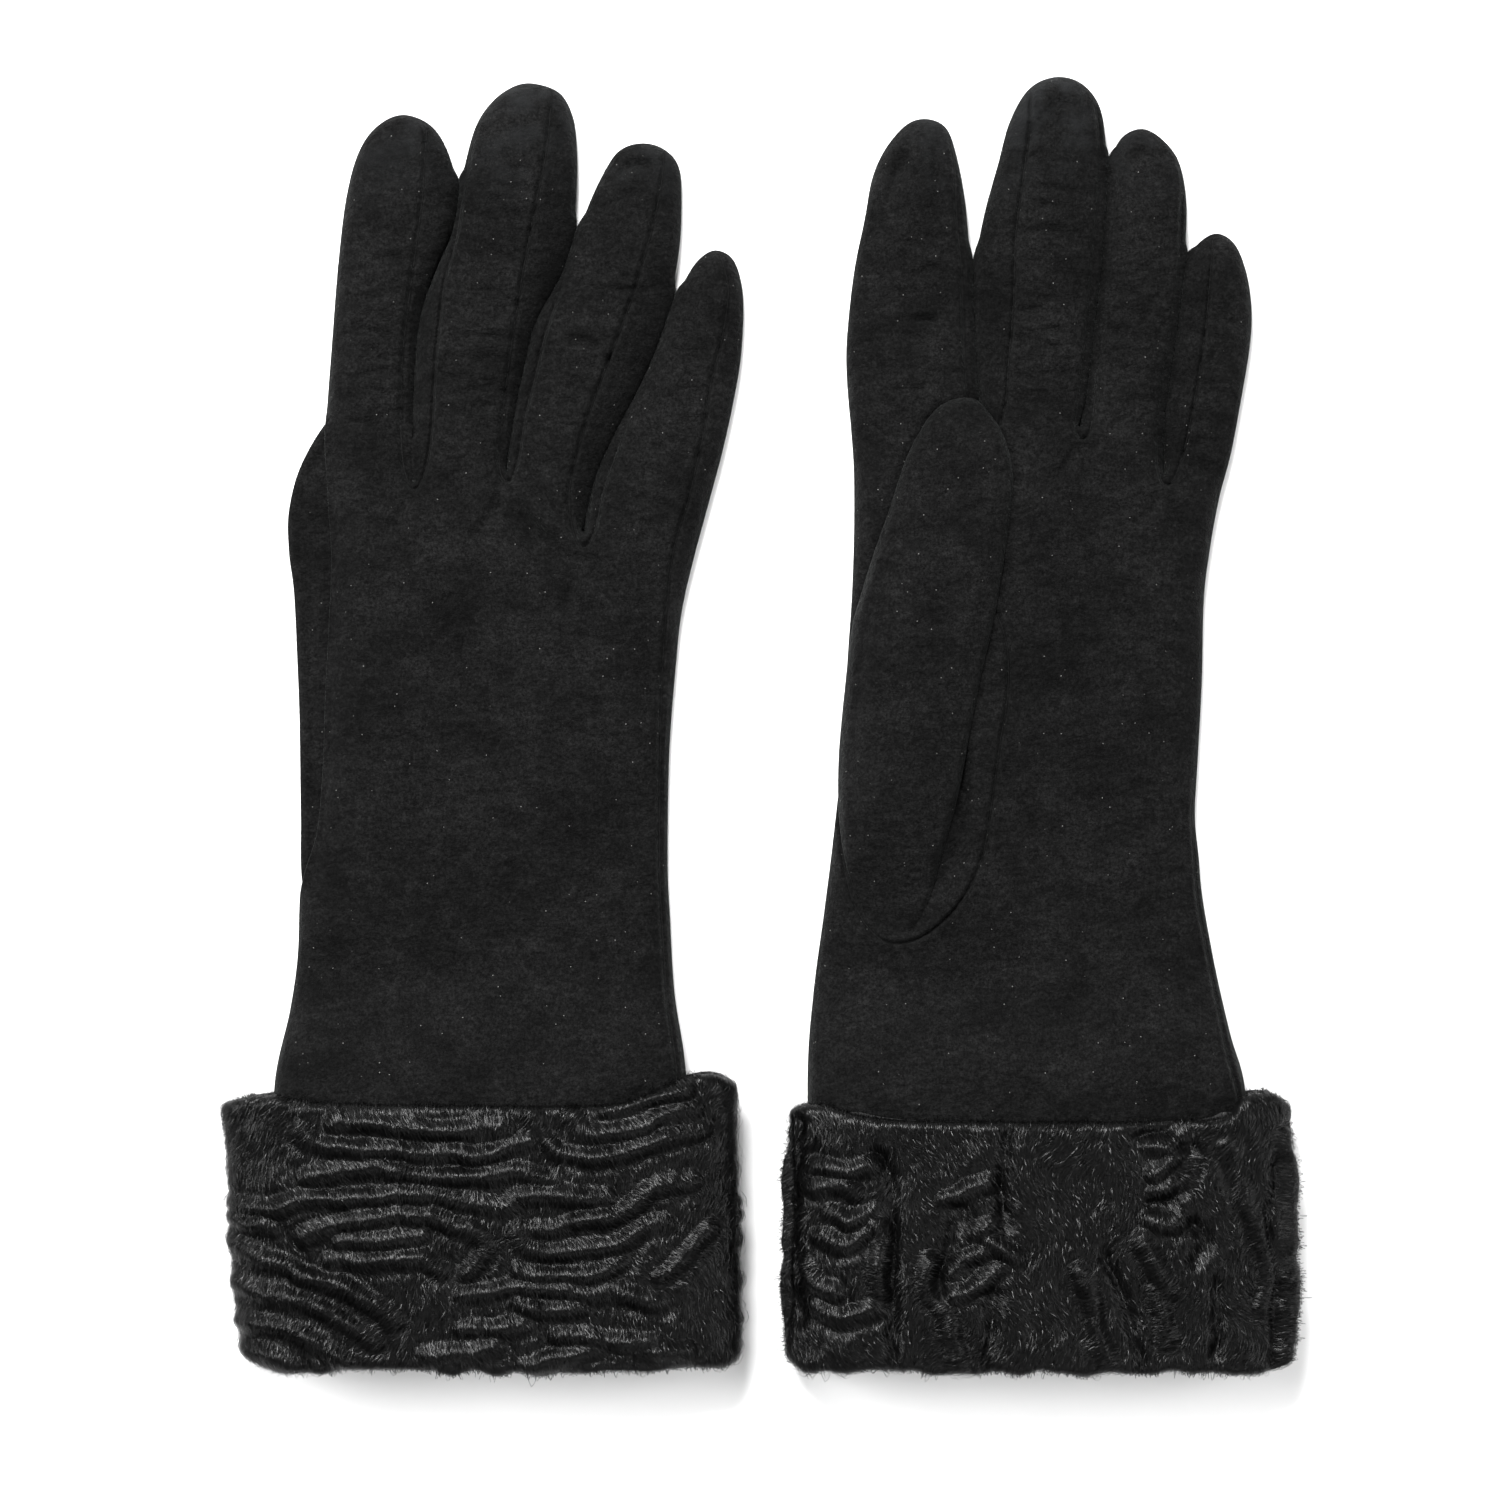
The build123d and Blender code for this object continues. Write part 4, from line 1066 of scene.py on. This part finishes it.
def make_seam_threads(glove, joints, lines, plan, height):
    """Dark sewing thread sunk in each seam, cut where the leather is cut."""
    hand = glove["hand"]
    pieces = {}
    for line in lines:
        line = resample(line, THREAD_STEP)
        _, at = nearest(line, plan.points)
        owner = np.full(len(line), -1)
        for k, finger in enumerate(FINGERS):
            knuckle, d = joints[finger]
            own = inside(line, np.array(glove["outline"][k]))
            owner[own & ((line - knuckle) @ d > -SPLIT_BELOW)] = k
        z = np.array([height[at[max(0, i - 1):i + 2]].min() for i in range(len(line))])
        z += THREAD_RADIUS
        shown = inside(line, plan.loop)
        changes = np.flatnonzero((np.diff(owner) != 0) | (np.diff(shown.astype(int)) != 0)) + 1
        for run in np.split(np.arange(len(line)), changes):
            if len(run) < 4 or not shown[run[0]]:
                continue
            run = np.r_[run, run[-1] + 1] if run[-1] + 1 < len(line) else run
            stretch = np.column_stack([line[run], z[run]])
            pieces.setdefault(int(owner[run[0]]), []).append(stretch)
    for k, runs in pieces.items():
        vertices, faces = [], []
        for run in runs:
            v, f = thread_tube(run, THREAD_RADIUS)
            faces.append(f + sum(len(w) for w in vertices))
            vertices.append(v)
        name = f"{FINGERS[k]}_seam" if k >= 0 else "hand_seam"
        made = add_mesh(f"{hand}_{name}_thread", np.vstack(vertices), np.vstack(faces), THREAD)
        place(made, hand, name, joints)


def thread_tube(line, radius):
    """A six-sided tube along a line, pinched between stitches."""
    ahead = unit(np.gradient(line, axis=0))
    across = unit(np.cross(ahead, (0, 0, 1.0)))
    up = np.cross(across, ahead)
    phase = np.arange(len(line)) * THREAD_STEP * np.pi / 2.2
    size = radius * (0.75 + 0.35 * np.abs(np.sin(phase)))
    turn = np.linspace(0, 2 * np.pi, 6, endpoint=False)
    rings = [line + size[:, None] * (across * math.cos(a) + up * math.sin(a)) for a in turn]
    points = np.stack(rings, axis=1)
    return points.reshape(-1, 3), turned_over(grid_faces(*points.shape[:2], around_m=True))


def make_thumb(glove, thumb_loop, hand_plan, hand_top):
    """The thumb: two shaped leathers that meet at the outline."""
    hand = glove["hand"]
    plan = Plan(thumb_loop, -1e9, [], [])
    p = plan.points
    y = p[:, 1]
    near, far = plan.swell(3.2), plan.swell(9.0)
    if glove["palm_up"]:
        # it lies on the palm, and is fuller away from its root
        away, which = nearest(p, hand_plan.points)
        base = np.minimum(np.where(away < 3, hand_top[which], RIM_Z) + 0.2, 6.6)
        for _ in range(12):
            base = smooth_over(plan, base)
        root = smoothstep(y, -44, -12)
        bottom = base + 0.1
        top = base + 0.35 + (1.5 + 3.0 * root) * near**0.45 + 1.7 * np.sqrt(far) * root
    else:
        # it lies flat between the palm and the floor
        bottom = 2.0 - 1.7 * np.clip(near * 3, 0, 1) ** 0.5
        top = 1.6 + 1.7 * near**0.55 + 0.2 * np.sqrt(far)
    relief = leather_noise(p, glove["seeds"]["thumb"]) * (1.0 if glove["palm_up"] else 0.3)
    for points, depth, width in THUMB_FOLDS[hand]:
        relief += fold_height(p, curve_through(points, LINE_STEP), depth, width)
    away, _ = line_distance(p, np.vstack([thumb_loop, thumb_loop[:1]]))
    shown = smoothstep(y, -40, -20)
    relief += shown * 0.55 * bell(away, 1.3, 0.5)
    relief -= shown * 1.1 * bell(away, 2.4, 0.4)
    top += relief * smoothstep(near, 0.0, 0.5)
    top = np.where(plan.rim, top, np.maximum(top, bottom + 0.2))
    bottom[plan.rim] = top[plan.rim]
    vertices, faces = double_sheet(plan, p, top, bottom)
    normals = vertex_normals(vertices, faces)
    upper = np.arange(len(faces)) < len(plan.faces)
    names = ("inner", "outer") if glove["palm_up"] else ("outer", "inner")
    for name, chosen in zip(names, (upper, ~upper)):
        v, f, n = part_of(vertices, faces, normals, chosen)
        made = add_mesh(f"{hand}_thumb_{name}_leather", v, f, SUEDE, n)
        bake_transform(made)
        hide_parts(f"{hand}_thumb_{name}")


THUMB_FOLDS = {
    "left": [
        ([(36, 66), (40, 60), (41, 52)], 0.35, 1.6),
        ([(43.5, 68), (47, 60), (48, 50)], 0.25, 1.5),
        ([(30, 40), (38, 38.5), (46, 39.5)], 0.25, 1.3),
        ([(28, 34), (36, 33), (42, 34)], 0.18, 1.0),
        ([(22, 6), (30, -8), (34, -22)], 0.45, 2.6),
        ([(44, 8), (39, -8), (35, -24)], 0.5, 2.6),
        ([(30, 28), (36, 8), (36, -6)], -0.35, 4.0),
    ],
    "right": [],
}


def smooth_over(plan, values):
    """Each value replaced by the mean of its neighbours' values."""
    f = plan.faces
    total = np.zeros(len(values))
    count = np.zeros(len(values))
    for a, b in ((0, 1), (1, 2), (2, 0)):
        np.add.at(total, f[:, a], values[f[:, b]])
        np.add.at(total, f[:, b], values[f[:, a]])
        np.add.at(count, f[:, a], 1)
        np.add.at(count, f[:, b], 1)
    return 0.5 * values + 0.5 * total / np.maximum(count, 1)


# ---- the cuffs ---------------------------------------------------------------------------------
AROUND = 520              # mesh columns round a cuff
ALONG = 118               # mesh rows down its outside
ROLL_ROWS = 8             # mesh rows round each rolled edge
CUFF_STEP = 0.5           # about the spacing of that mesh, both ways
CUFF_LENGTH = 62.0        # down the outside, with the rolled edges
WALL = 3.5                # pelt and pile
LINING_TOP_Y = -80.6
HAIR_PIECES = 6           # a cuff's hair is split into this many objects
HAIR_AREA = 240 * 60      # fur of one cuff, in square millimetres
HAIR_DENSITY = 6.5
HAIR_TAPER = (0.75, 1.0, 1.0, 0.85, 0.55, 0.12)     # width from root to tip


def ridges_at(points, lines):
    """How far up a curl each point is, how far from the nearest one, and that one's direction."""
    best = np.full(len(points), 1e9)
    tangent = np.tile((1.0, 0.0), (len(points), 1))
    ridge = np.zeros(len(points))
    for k, knots in enumerate(lines):
        line = curve_through(knots, 1.5)
        away, along = line_distance(points, line)
        length = np.linalg.norm(np.diff(line, axis=0), axis=1).sum()
        step = np.gradient(line, axis=0)
        at = along / length * (len(line) - 1)
        d = np.column_stack([np.interp(at, np.arange(len(line)), step[:, c]) for c in (0, 1)])
        nearer = away < best
        best[nearer] = away[nearer]
        tangent[nearer] = d[nearer]
        fade = 0.45 + 0.55 * np.sin(np.pi * np.clip(along / length, 0.03, 0.97)) ** 0.5
        fade *= 1 + 0.25 * noise(along / 5, along * 0 + k, 17)
        ridge = np.maximum(ridge, fade * np.exp(-((away / 1.45) ** 1.5)))
    return ridge, best, unit(tangent)


def hair_lie(x, y, tangent, away):
    """The way the hair lies: across a curl beside it, and wandering down the cuff elsewhere."""
    flow = np.column_stack([-tangent[:, 1], tangent[:, 0]])
    flow *= np.where(flow[:, 1:] > 0, -1, 1)
    angle = 0.9 * noise(x / 13, y / 11, 71)
    angle += 0.45 * noise(x / 4, y / 4, 72)
    free = np.column_stack([np.sin(angle), -np.cos(angle)])
    flow[:, 0] += 0.25 + 0.7 * noise(x / 9, y / 7, 73)
    near = smoothstep(-away, -5.0, -2.4)[:, None]
    return unit(flow * near + free * (1 - near))


def curl_field(cuff, x, y):
    """Height of the curls above the pelt, and the way the hair lies."""
    shape = x.shape
    x, y = x.ravel(), y.ravel()
    wander = np.column_stack([0.7 * noise(x / 4, y / 4, 21), 0.5 * noise(x / 4, y / 4, 22)])
    spread = np.column_stack([x, y]) + wander
    ridge, away, tangent = ridges_at(spread, cuff["ridges"])
    groove = np.zeros(len(x))
    for knots in cuff["grooves"]:
        beside, _ = line_distance(spread, curve_through(knots, 1.5))
        groove = np.maximum(groove, bell(beside, 0, 1.7))
    valley = bell(away, 2.7, 1.0)
    tufts = rough_noise(x / 3.2, y / 4.5, 35, 2)
    height = 0.8 + 1.55 * ridge - 0.50 * valley - 1.7 * groove + 0.30 * tufts
    return height.reshape(shape), hair_lie(x, y, tangent, away).reshape(shape + (2,))


class Cuff:
    """A flattened band of curly fur. Its surface is a grid: around the band, and along it."""

    def __init__(self, glove):
        self.shape = glove["cuff"]
        self.hand = glove["hand"]
        self.bottom = self.shape["bottom"]
        low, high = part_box(f"{self.hand}_cuff_fur")
        self.height = (high.z - low.z) / MM
        self.section = self._cross_section()
        self.columns = len(self.section)
        self._lay_out()

    def _cross_section(self):
        """A flat, blunt-sided loop, from -1 to 1 both ways, in even steps of the real one."""
        turn = np.linspace(0, 2 * np.pi, 4000)
        c, s = np.cos(turn), np.sin(turn)
        section = np.column_stack([np.sign(c) * np.abs(c) ** (2 / 5.5),
                                   np.sign(s) * np.abs(s) ** (2 / 2.3)])
        half = np.array([55.0, self.height / 2 - 1.1])
        line = resample(section * half, 0.05)
        around = np.linalg.norm(np.diff(line, axis=0), axis=1).sum()
        return resample(line, around / AROUND)[:-1] / half

    def _profile(self):
        """Rows, as (down, out): out of the upper edge, down the outside, and into the mouth."""
        roll = WALL / 2
        turn = np.linspace(0, np.pi, ROLL_ROWS)
        length = CUFF_LENGTH - 2 * roll
        outer = np.linspace(0, length, ALONG)
        rows = [(roll + 4.0, -WALL), (roll + 2.0, -WALL)]
        rows += [(roll - roll * math.sin(a), -roll - roll * math.cos(a)) for a in turn]
        rows += [(roll + o, 0.0) for o in outer[1:-1]]
        rows += [(roll + length + roll * math.sin(a), -roll + roll * math.cos(a)) for a in turn]
        rows += [(roll + length - 2.0, -WALL), (roll + length - 4.5, -WALL)]
        return np.array(rows)

    def _edges(self, t):
        """The band's plan: x of both sides at each row, and x and y of each point."""
        left_top, left_bottom = self.shape["left"]
        right_top, right_bottom = self.shape["right"]
        left = left_top + (left_bottom - left_top) * t
        right = right_top + (right_bottom - right_top) * t
        u = (self.section[:, 0:1] + 1) / 2
        inset = 1.0
        x = left + inset + (right - left - 2 * inset) * u
        top = curve_through(self.shape["top"], 0.02)
        y_top = np.interp(u, top[:, 0], top[:, 1])
        y = y_top + (self.bottom - y_top) * t
        wave = 0.7 * noise(x / 14, y * 0 + 3.3, 14) + 0.7 * noise(x / 4.6, y * 0 + 6.1, 15)
        y = y + wave * t**3
        corner = np.abs(2 * u - 1) ** 16
        y = y + 1.5 * corner * smoothstep(t, 0.6, 1.0) - 0.6 * corner * smoothstep(-t, -0.3, 0.0)
        return left, right, x, y

    def _lay_out(self):
        """Places the grid's points: a flattened tube, its curls, and both rolled edges."""
        down, depth = self._profile().T
        self.rows = len(down)
        self.first_outer, self.last_outer = 5, self.rows - 7
        t = (down / CUFF_LENGTH)[None, :]
        left, right, x, y = self._edges(t)
        half_z = self.height / 2 - 1.3
        z = self.height / 2 + half_z * self.section[:, 1:2] * (0.95 + 0.05 * t)
        base = np.stack([x, y, z + 0 * x], axis=2)
        around = np.roll(base, -1, axis=0) - np.roll(base, 1, axis=0)
        normal = unit(np.cross(np.array([0, -1.0, 0]), around))
        out = np.sign((normal * (base - np.array([x.mean(), 0, self.height / 2]))).sum(2)).mean()
        normal *= 1 if out > 0 else -1
        under = self.section[:, 1:2] < 0
        curls, self.flow = curl_field(self.shape, np.where(under, left + right - x, x), y)
        self.flow[:, :, 0] *= np.where(under, -1, 1)
        shown = smoothstep(depth, -WALL, -0.2)[None, :]
        lump = 0.5 * noise(x / 11, y / 11, 47)
        rise = (curls + lump) * shown
        position = base + normal * (depth[None, :, None] + (rise - 0.9)[:, :, None])
        position[:, :, 2] = np.maximum(position[:, :, 2], 0.15)
        self.position, self.x, self.y = position, x, y
        faces = grid_faces(self.columns, self.rows, around_n=True)
        triangles = np.vstack([faces[:, [0, 1, 2]], faces[:, [0, 2, 3]]])
        normals = vertex_normals(position.reshape(-1, 3), triangles).reshape(position.shape)
        facing_out = (normals * normal).sum(2)[:, self.first_outer:self.last_outer].mean() > 0
        self.faces = faces if facing_out else faces[:, ::-1]
        self.normal = normals if facing_out else -normals
        quarter = self.columns // 4
        self.turn = np.sign(x[quarter + 2, 0] - x[quarter - 2, 0])

    def sample(self, i, j):
        """Surface point and normal at fractional grid places."""
        i0, j0 = np.floor(i).astype(int), np.clip(np.floor(j).astype(int), 0, self.rows - 2)
        fi, fj = (i - i0)[..., None], np.clip(j - j0, 0, 1)[..., None]
        i0, i1 = i0 % self.columns, (i0 + 1) % self.columns
        result = []
        for field in (self.position, self.normal):
            low = field[i0, j0] * (1 - fi) + field[i1, j0] * fi
            high = field[i0, j0 + 1] * (1 - fi) + field[i1, j0 + 1] * fi
            result.append(low * (1 - fj) + high * fj)
        return result

    def make_pelt(self):
        """The skin with its curls, under the hair."""
        piece = add_mesh(f"{self.hand}_cuff_pelt", self.position.reshape(-1, 3), self.faces, PELT,
                         self.normal.reshape(-1, 3))
        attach(piece, f"{self.hand}_hand")
        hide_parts(f"{self.hand}_cuff_fur")

    def hair_flow(self, i, j):
        """Direction the hair lies in: part of a step around the band, and part along it."""
        i = np.floor(i).astype(int) % self.columns
        j = np.clip(np.floor(j).astype(int), 2, self.rows - 3)
        flow = self.flow[i, j]
        turn = np.where(self.section[i, 1] > 0, self.turn, -self.turn)
        sideways = np.where(np.abs(self.section[i, 0]) > 0.985, 0.25, 1.0)
        return sideways * flow[:, 0] * turn, -flow[:, 1]

    def _hair_paths(self, random):
        """Each hair's points from root to tip, the pelt's normals there, and its place around."""
        count = int(HAIR_DENSITY * HAIR_AREA)
        i = random.uniform(0, self.columns, count)
        span = self.last_outer - self.first_outer
        j = self.first_outer - 3 + random.uniform(0, span + 4, count)
        low_side = self.section[i.astype(int) % self.columns, 1] < -0.7
        keep = ~low_side | (random.uniform(0, 1, count) < 0.3)
        i, j = i[keep], j[keep]
        count = len(i)
        length = random.uniform(2.6, 6.0, count)
        lift = random.gamma(1.7, 0.20, count)
        stray = random.uniform(0, 1, count) < 0.03
        lift[stray] += random.uniform(0.4, 1.4, stray.sum())
        width = random.uniform(0.06, 0.12, count)
        roll = random.normal(0, 0.24, count)
        swerve = random.normal(0, 0.22, count)
        segments = len(HAIR_TAPER) - 1
        ci, cj = i.copy(), j.copy()
        points, normals = [], []
        for k in range(segments + 1):
            point, normal = self.sample(ci, cj)
            arch = math.sin(math.pi * min(k / segments * 0.9 + 0.05, 1)) ** 0.8
            points.append(point + normal * (0.06 + lift * arch)[:, None])
            normals.append(normal)
            di, dj = self.hair_flow(ci, cj)
            move = length / segments / CUFF_STEP
            ci = ci + (di * np.cos(swerve) - dj * np.sin(swerve)) * move
            cj = cj + (di * np.sin(swerve) + dj * np.cos(swerve)) * move
            cj = np.clip(cj, 1, self.rows - 3)
        points = np.stack(points, axis=1)
        points[:, :, 2] = np.maximum(points[:, :, 2], 0.1)
        return i, points, np.stack(normals, axis=1), width, roll

    def make_hair(self, seed):
        """Short flat locks of hair that follow the curls, as ribbons."""
        place, points, normals, width, roll = self._hair_paths(np.random.default_rng(seed))
        count = len(place)
        ahead = unit(np.gradient(points, axis=1))
        across = unit(np.cross(ahead, normals))
        c, s = np.cos(roll)[:, None, None], np.sin(roll)[:, None, None]
        across = across * c + normals * s
        half = across * (width[:, None] * np.array(HAIR_TAPER)[None, :] / 2)[:, :, None]
        vertices = np.stack([points - half, points + half], axis=2).reshape(count, -1, 3)
        facing = np.cross(across, ahead)
        flip = np.sign((facing * normals).sum(2))[:, :, None]
        facing = unit(facing * np.where(flip == 0, 1, flip) + 0.40 * normals)
        vertex_facing = np.repeat(facing, 2, axis=1)
        ribbon = turned_over(grid_faces(len(HAIR_TAPER), 2))
        order = np.argsort(place)
        for n, share in enumerate(np.array_split(np.arange(count), HAIR_PIECES)):
            chosen = order[share]
            first = np.arange(len(chosen)) * vertices.shape[1]
            faces = (ribbon[None] + first[:, None, None]).reshape(-1, 4)
            piece = add_mesh(f"{self.hand}_cuff_hair_{n + 1}", vertices[chosen].reshape(-1, 3),
                             faces, HAIR, vertex_facing[chosen].reshape(-1, 3))
            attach(piece, f"{self.hand}_hand")

    def make_facing(self):
        """The lining inside the band."""
        rows = slice(self.first_outer, self.last_outer, 2)
        x, y = self.x[:, rows], self.y[:, rows]
        centre = x.mean()
        x_in = centre + (x - centre) * (1 - (WALL + 0.5) / 56)
        half = self.height / 2 - WALL - 0.75
        across = self.section[:, 1:2]
        z = self.height / 2 + half * np.sign(across) * np.abs(across) ** 0.8
        z = z + 0.25 * noise(x / 6, y / 8, 91)
        points = np.stack([x_in, np.clip(y, self.bottom + 1.6, LINING_TOP_Y), z], axis=2)
        faces = turned_over(grid_faces(*points.shape[:2], around_n=True))
        flat = points.reshape(-1, 3)
        normals = vertex_normals(flat, faces[:, [0, 1, 2]])
        piece = add_mesh(f"{self.hand}_cuff_lining", flat, faces, FACING, normals)
        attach(piece, f"{self.hand}_hand")
        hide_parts(f"{self.hand}_cuff_facing")

    def make_hem(self):
        """The rolled seam at the mouth, between the lining and the wrist."""
        low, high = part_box(f"{self.hand}_cuff_hem")
        mouth = self.x[:, self.last_outer]
        half_x = (mouth.max() - mouth.min()) / 2 - WALL - 1.2
        half_z = (high.z - low.z) / 2 / MM - 1.1
        section = self.section[::2]
        x = (mouth.min() + mouth.max()) / 2 + half_x * section[:, 0]
        z = self.height / 2 + half_z * section[:, 1]
        out = unit(np.column_stack([section[:, 0] ** 3, section[:, 1]]))
        radius = 0.85 * (1 + 0.16 * np.sin(np.arange(len(section)) * 2.1))
        rings = []
        for a in np.linspace(0, 2 * np.pi, 10, endpoint=False):
            rings.append(np.column_stack([x + out[:, 0] * radius * math.cos(a),
                                          self.bottom + 1.3 + radius * math.sin(a),
                                          z + out[:, 1] * radius * math.cos(a)]))
        points = np.stack(rings, axis=1)
        faces = grid_faces(*points.shape[:2], around_n=True, around_m=True)
        piece = add_mesh(f"{self.hand}_cuff_hem_roll", points.reshape(-1, 3), faces, FACING)
        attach(piece, f"{self.hand}_hand")
        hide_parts(f"{self.hand}_cuff_hem")


# ---- floor, light and camera -------------------------------------------------------------------
def make_floor():
    """A wide pale floor, just under the gloves."""
    bpy.ops.mesh.primitive_plane_add(size=6, location=(0, 0, -0.0002))
    floor = bpy.context.object
    floor.name = "floor"
    floor.data.materials.append(paper("paper"))


LIGHTS = (
    # name, place in metres, size in metres, watts; each is aimed at the origin
    ("light_top", (-0.25, 0.75, 1.00), (0.45, 0.35), 36),
    ("light_left", (-1.0, 0.2, 0.80), (0.5, 0.5), 15),
    ("light_right", (1.1, 0.0, 0.90), (0.8, 0.8), 11),
    ("light_front", (0.2, -0.9, 1.10), (1.0, 1.0), 6),
)


def make_lights():
    """Soft studio lights, and a world that is brighter near the horizon."""
    for name, place, size, power in LIGHTS:
        data = bpy.data.lights.new(name, "AREA")
        data.shape = "RECTANGLE"
        data.size, data.size_y = size
        data.energy = power
        light = bpy.data.objects.new(name, data)
        light.location = place
        light.rotation_euler = (-Vector(place)).to_track_quat("-Z", "Y").to_euler()
        bpy.context.scene.collection.objects.link(light)
    world = bpy.data.worlds.new("studio")
    bpy.context.scene.world = world
    world.use_nodes = True
    tree = world.node_tree
    direction = tree.nodes.new("ShaderNodeTexCoord")
    split = tree.nodes.new("ShaderNodeSeparateXYZ")
    ramp = tree.nodes.new("ShaderNodeValToRGB")
    tree.links.new(direction.outputs["Generated"], split.inputs["Vector"])
    tree.links.new(split.outputs["Z"], ramp.inputs["Fac"])
    tree.links.new(ramp.outputs["Color"], tree.nodes["Background"].inputs["Color"])
    for element, (position, value) in zip(ramp.color_ramp.elements, ((0.10, 1.0), (0.30, 0.18))):
        element.position = position
        element.color = (value, value, value, 1)


def make_camera():
    """Straight above the pair, through a long lens."""
    data = bpy.data.cameras.new("camera")
    data.lens = 100
    data.sensor_width = 36
    data.clip_start = 0.05
    camera = bpy.data.objects.new("camera", data)
    camera.location = (-0.0018, -0.0040, 0.8975)
    bpy.context.scene.collection.objects.link(camera)
    bpy.context.scene.camera = camera
    bpy.context.scene.view_settings.view_transform = "Standard"


# ---- everything --------------------------------------------------------------------------------
for glove in (RIGHT, LEFT):
    thumb_loop = curve_through(glove["thumb"], LINE_STEP, closed=True)[:-1]
    hand_plan, hand_top = make_hand(glove, thumb_loop)
    make_thumb(glove, thumb_loop, hand_plan, hand_top)
    cuff = Cuff(glove)
    cuff.make_pelt()
    cuff.make_facing()
    cuff.make_hem()
    cuff.make_hair(glove["seeds"]["hair"])

make_floor()
make_lights()
make_camera()
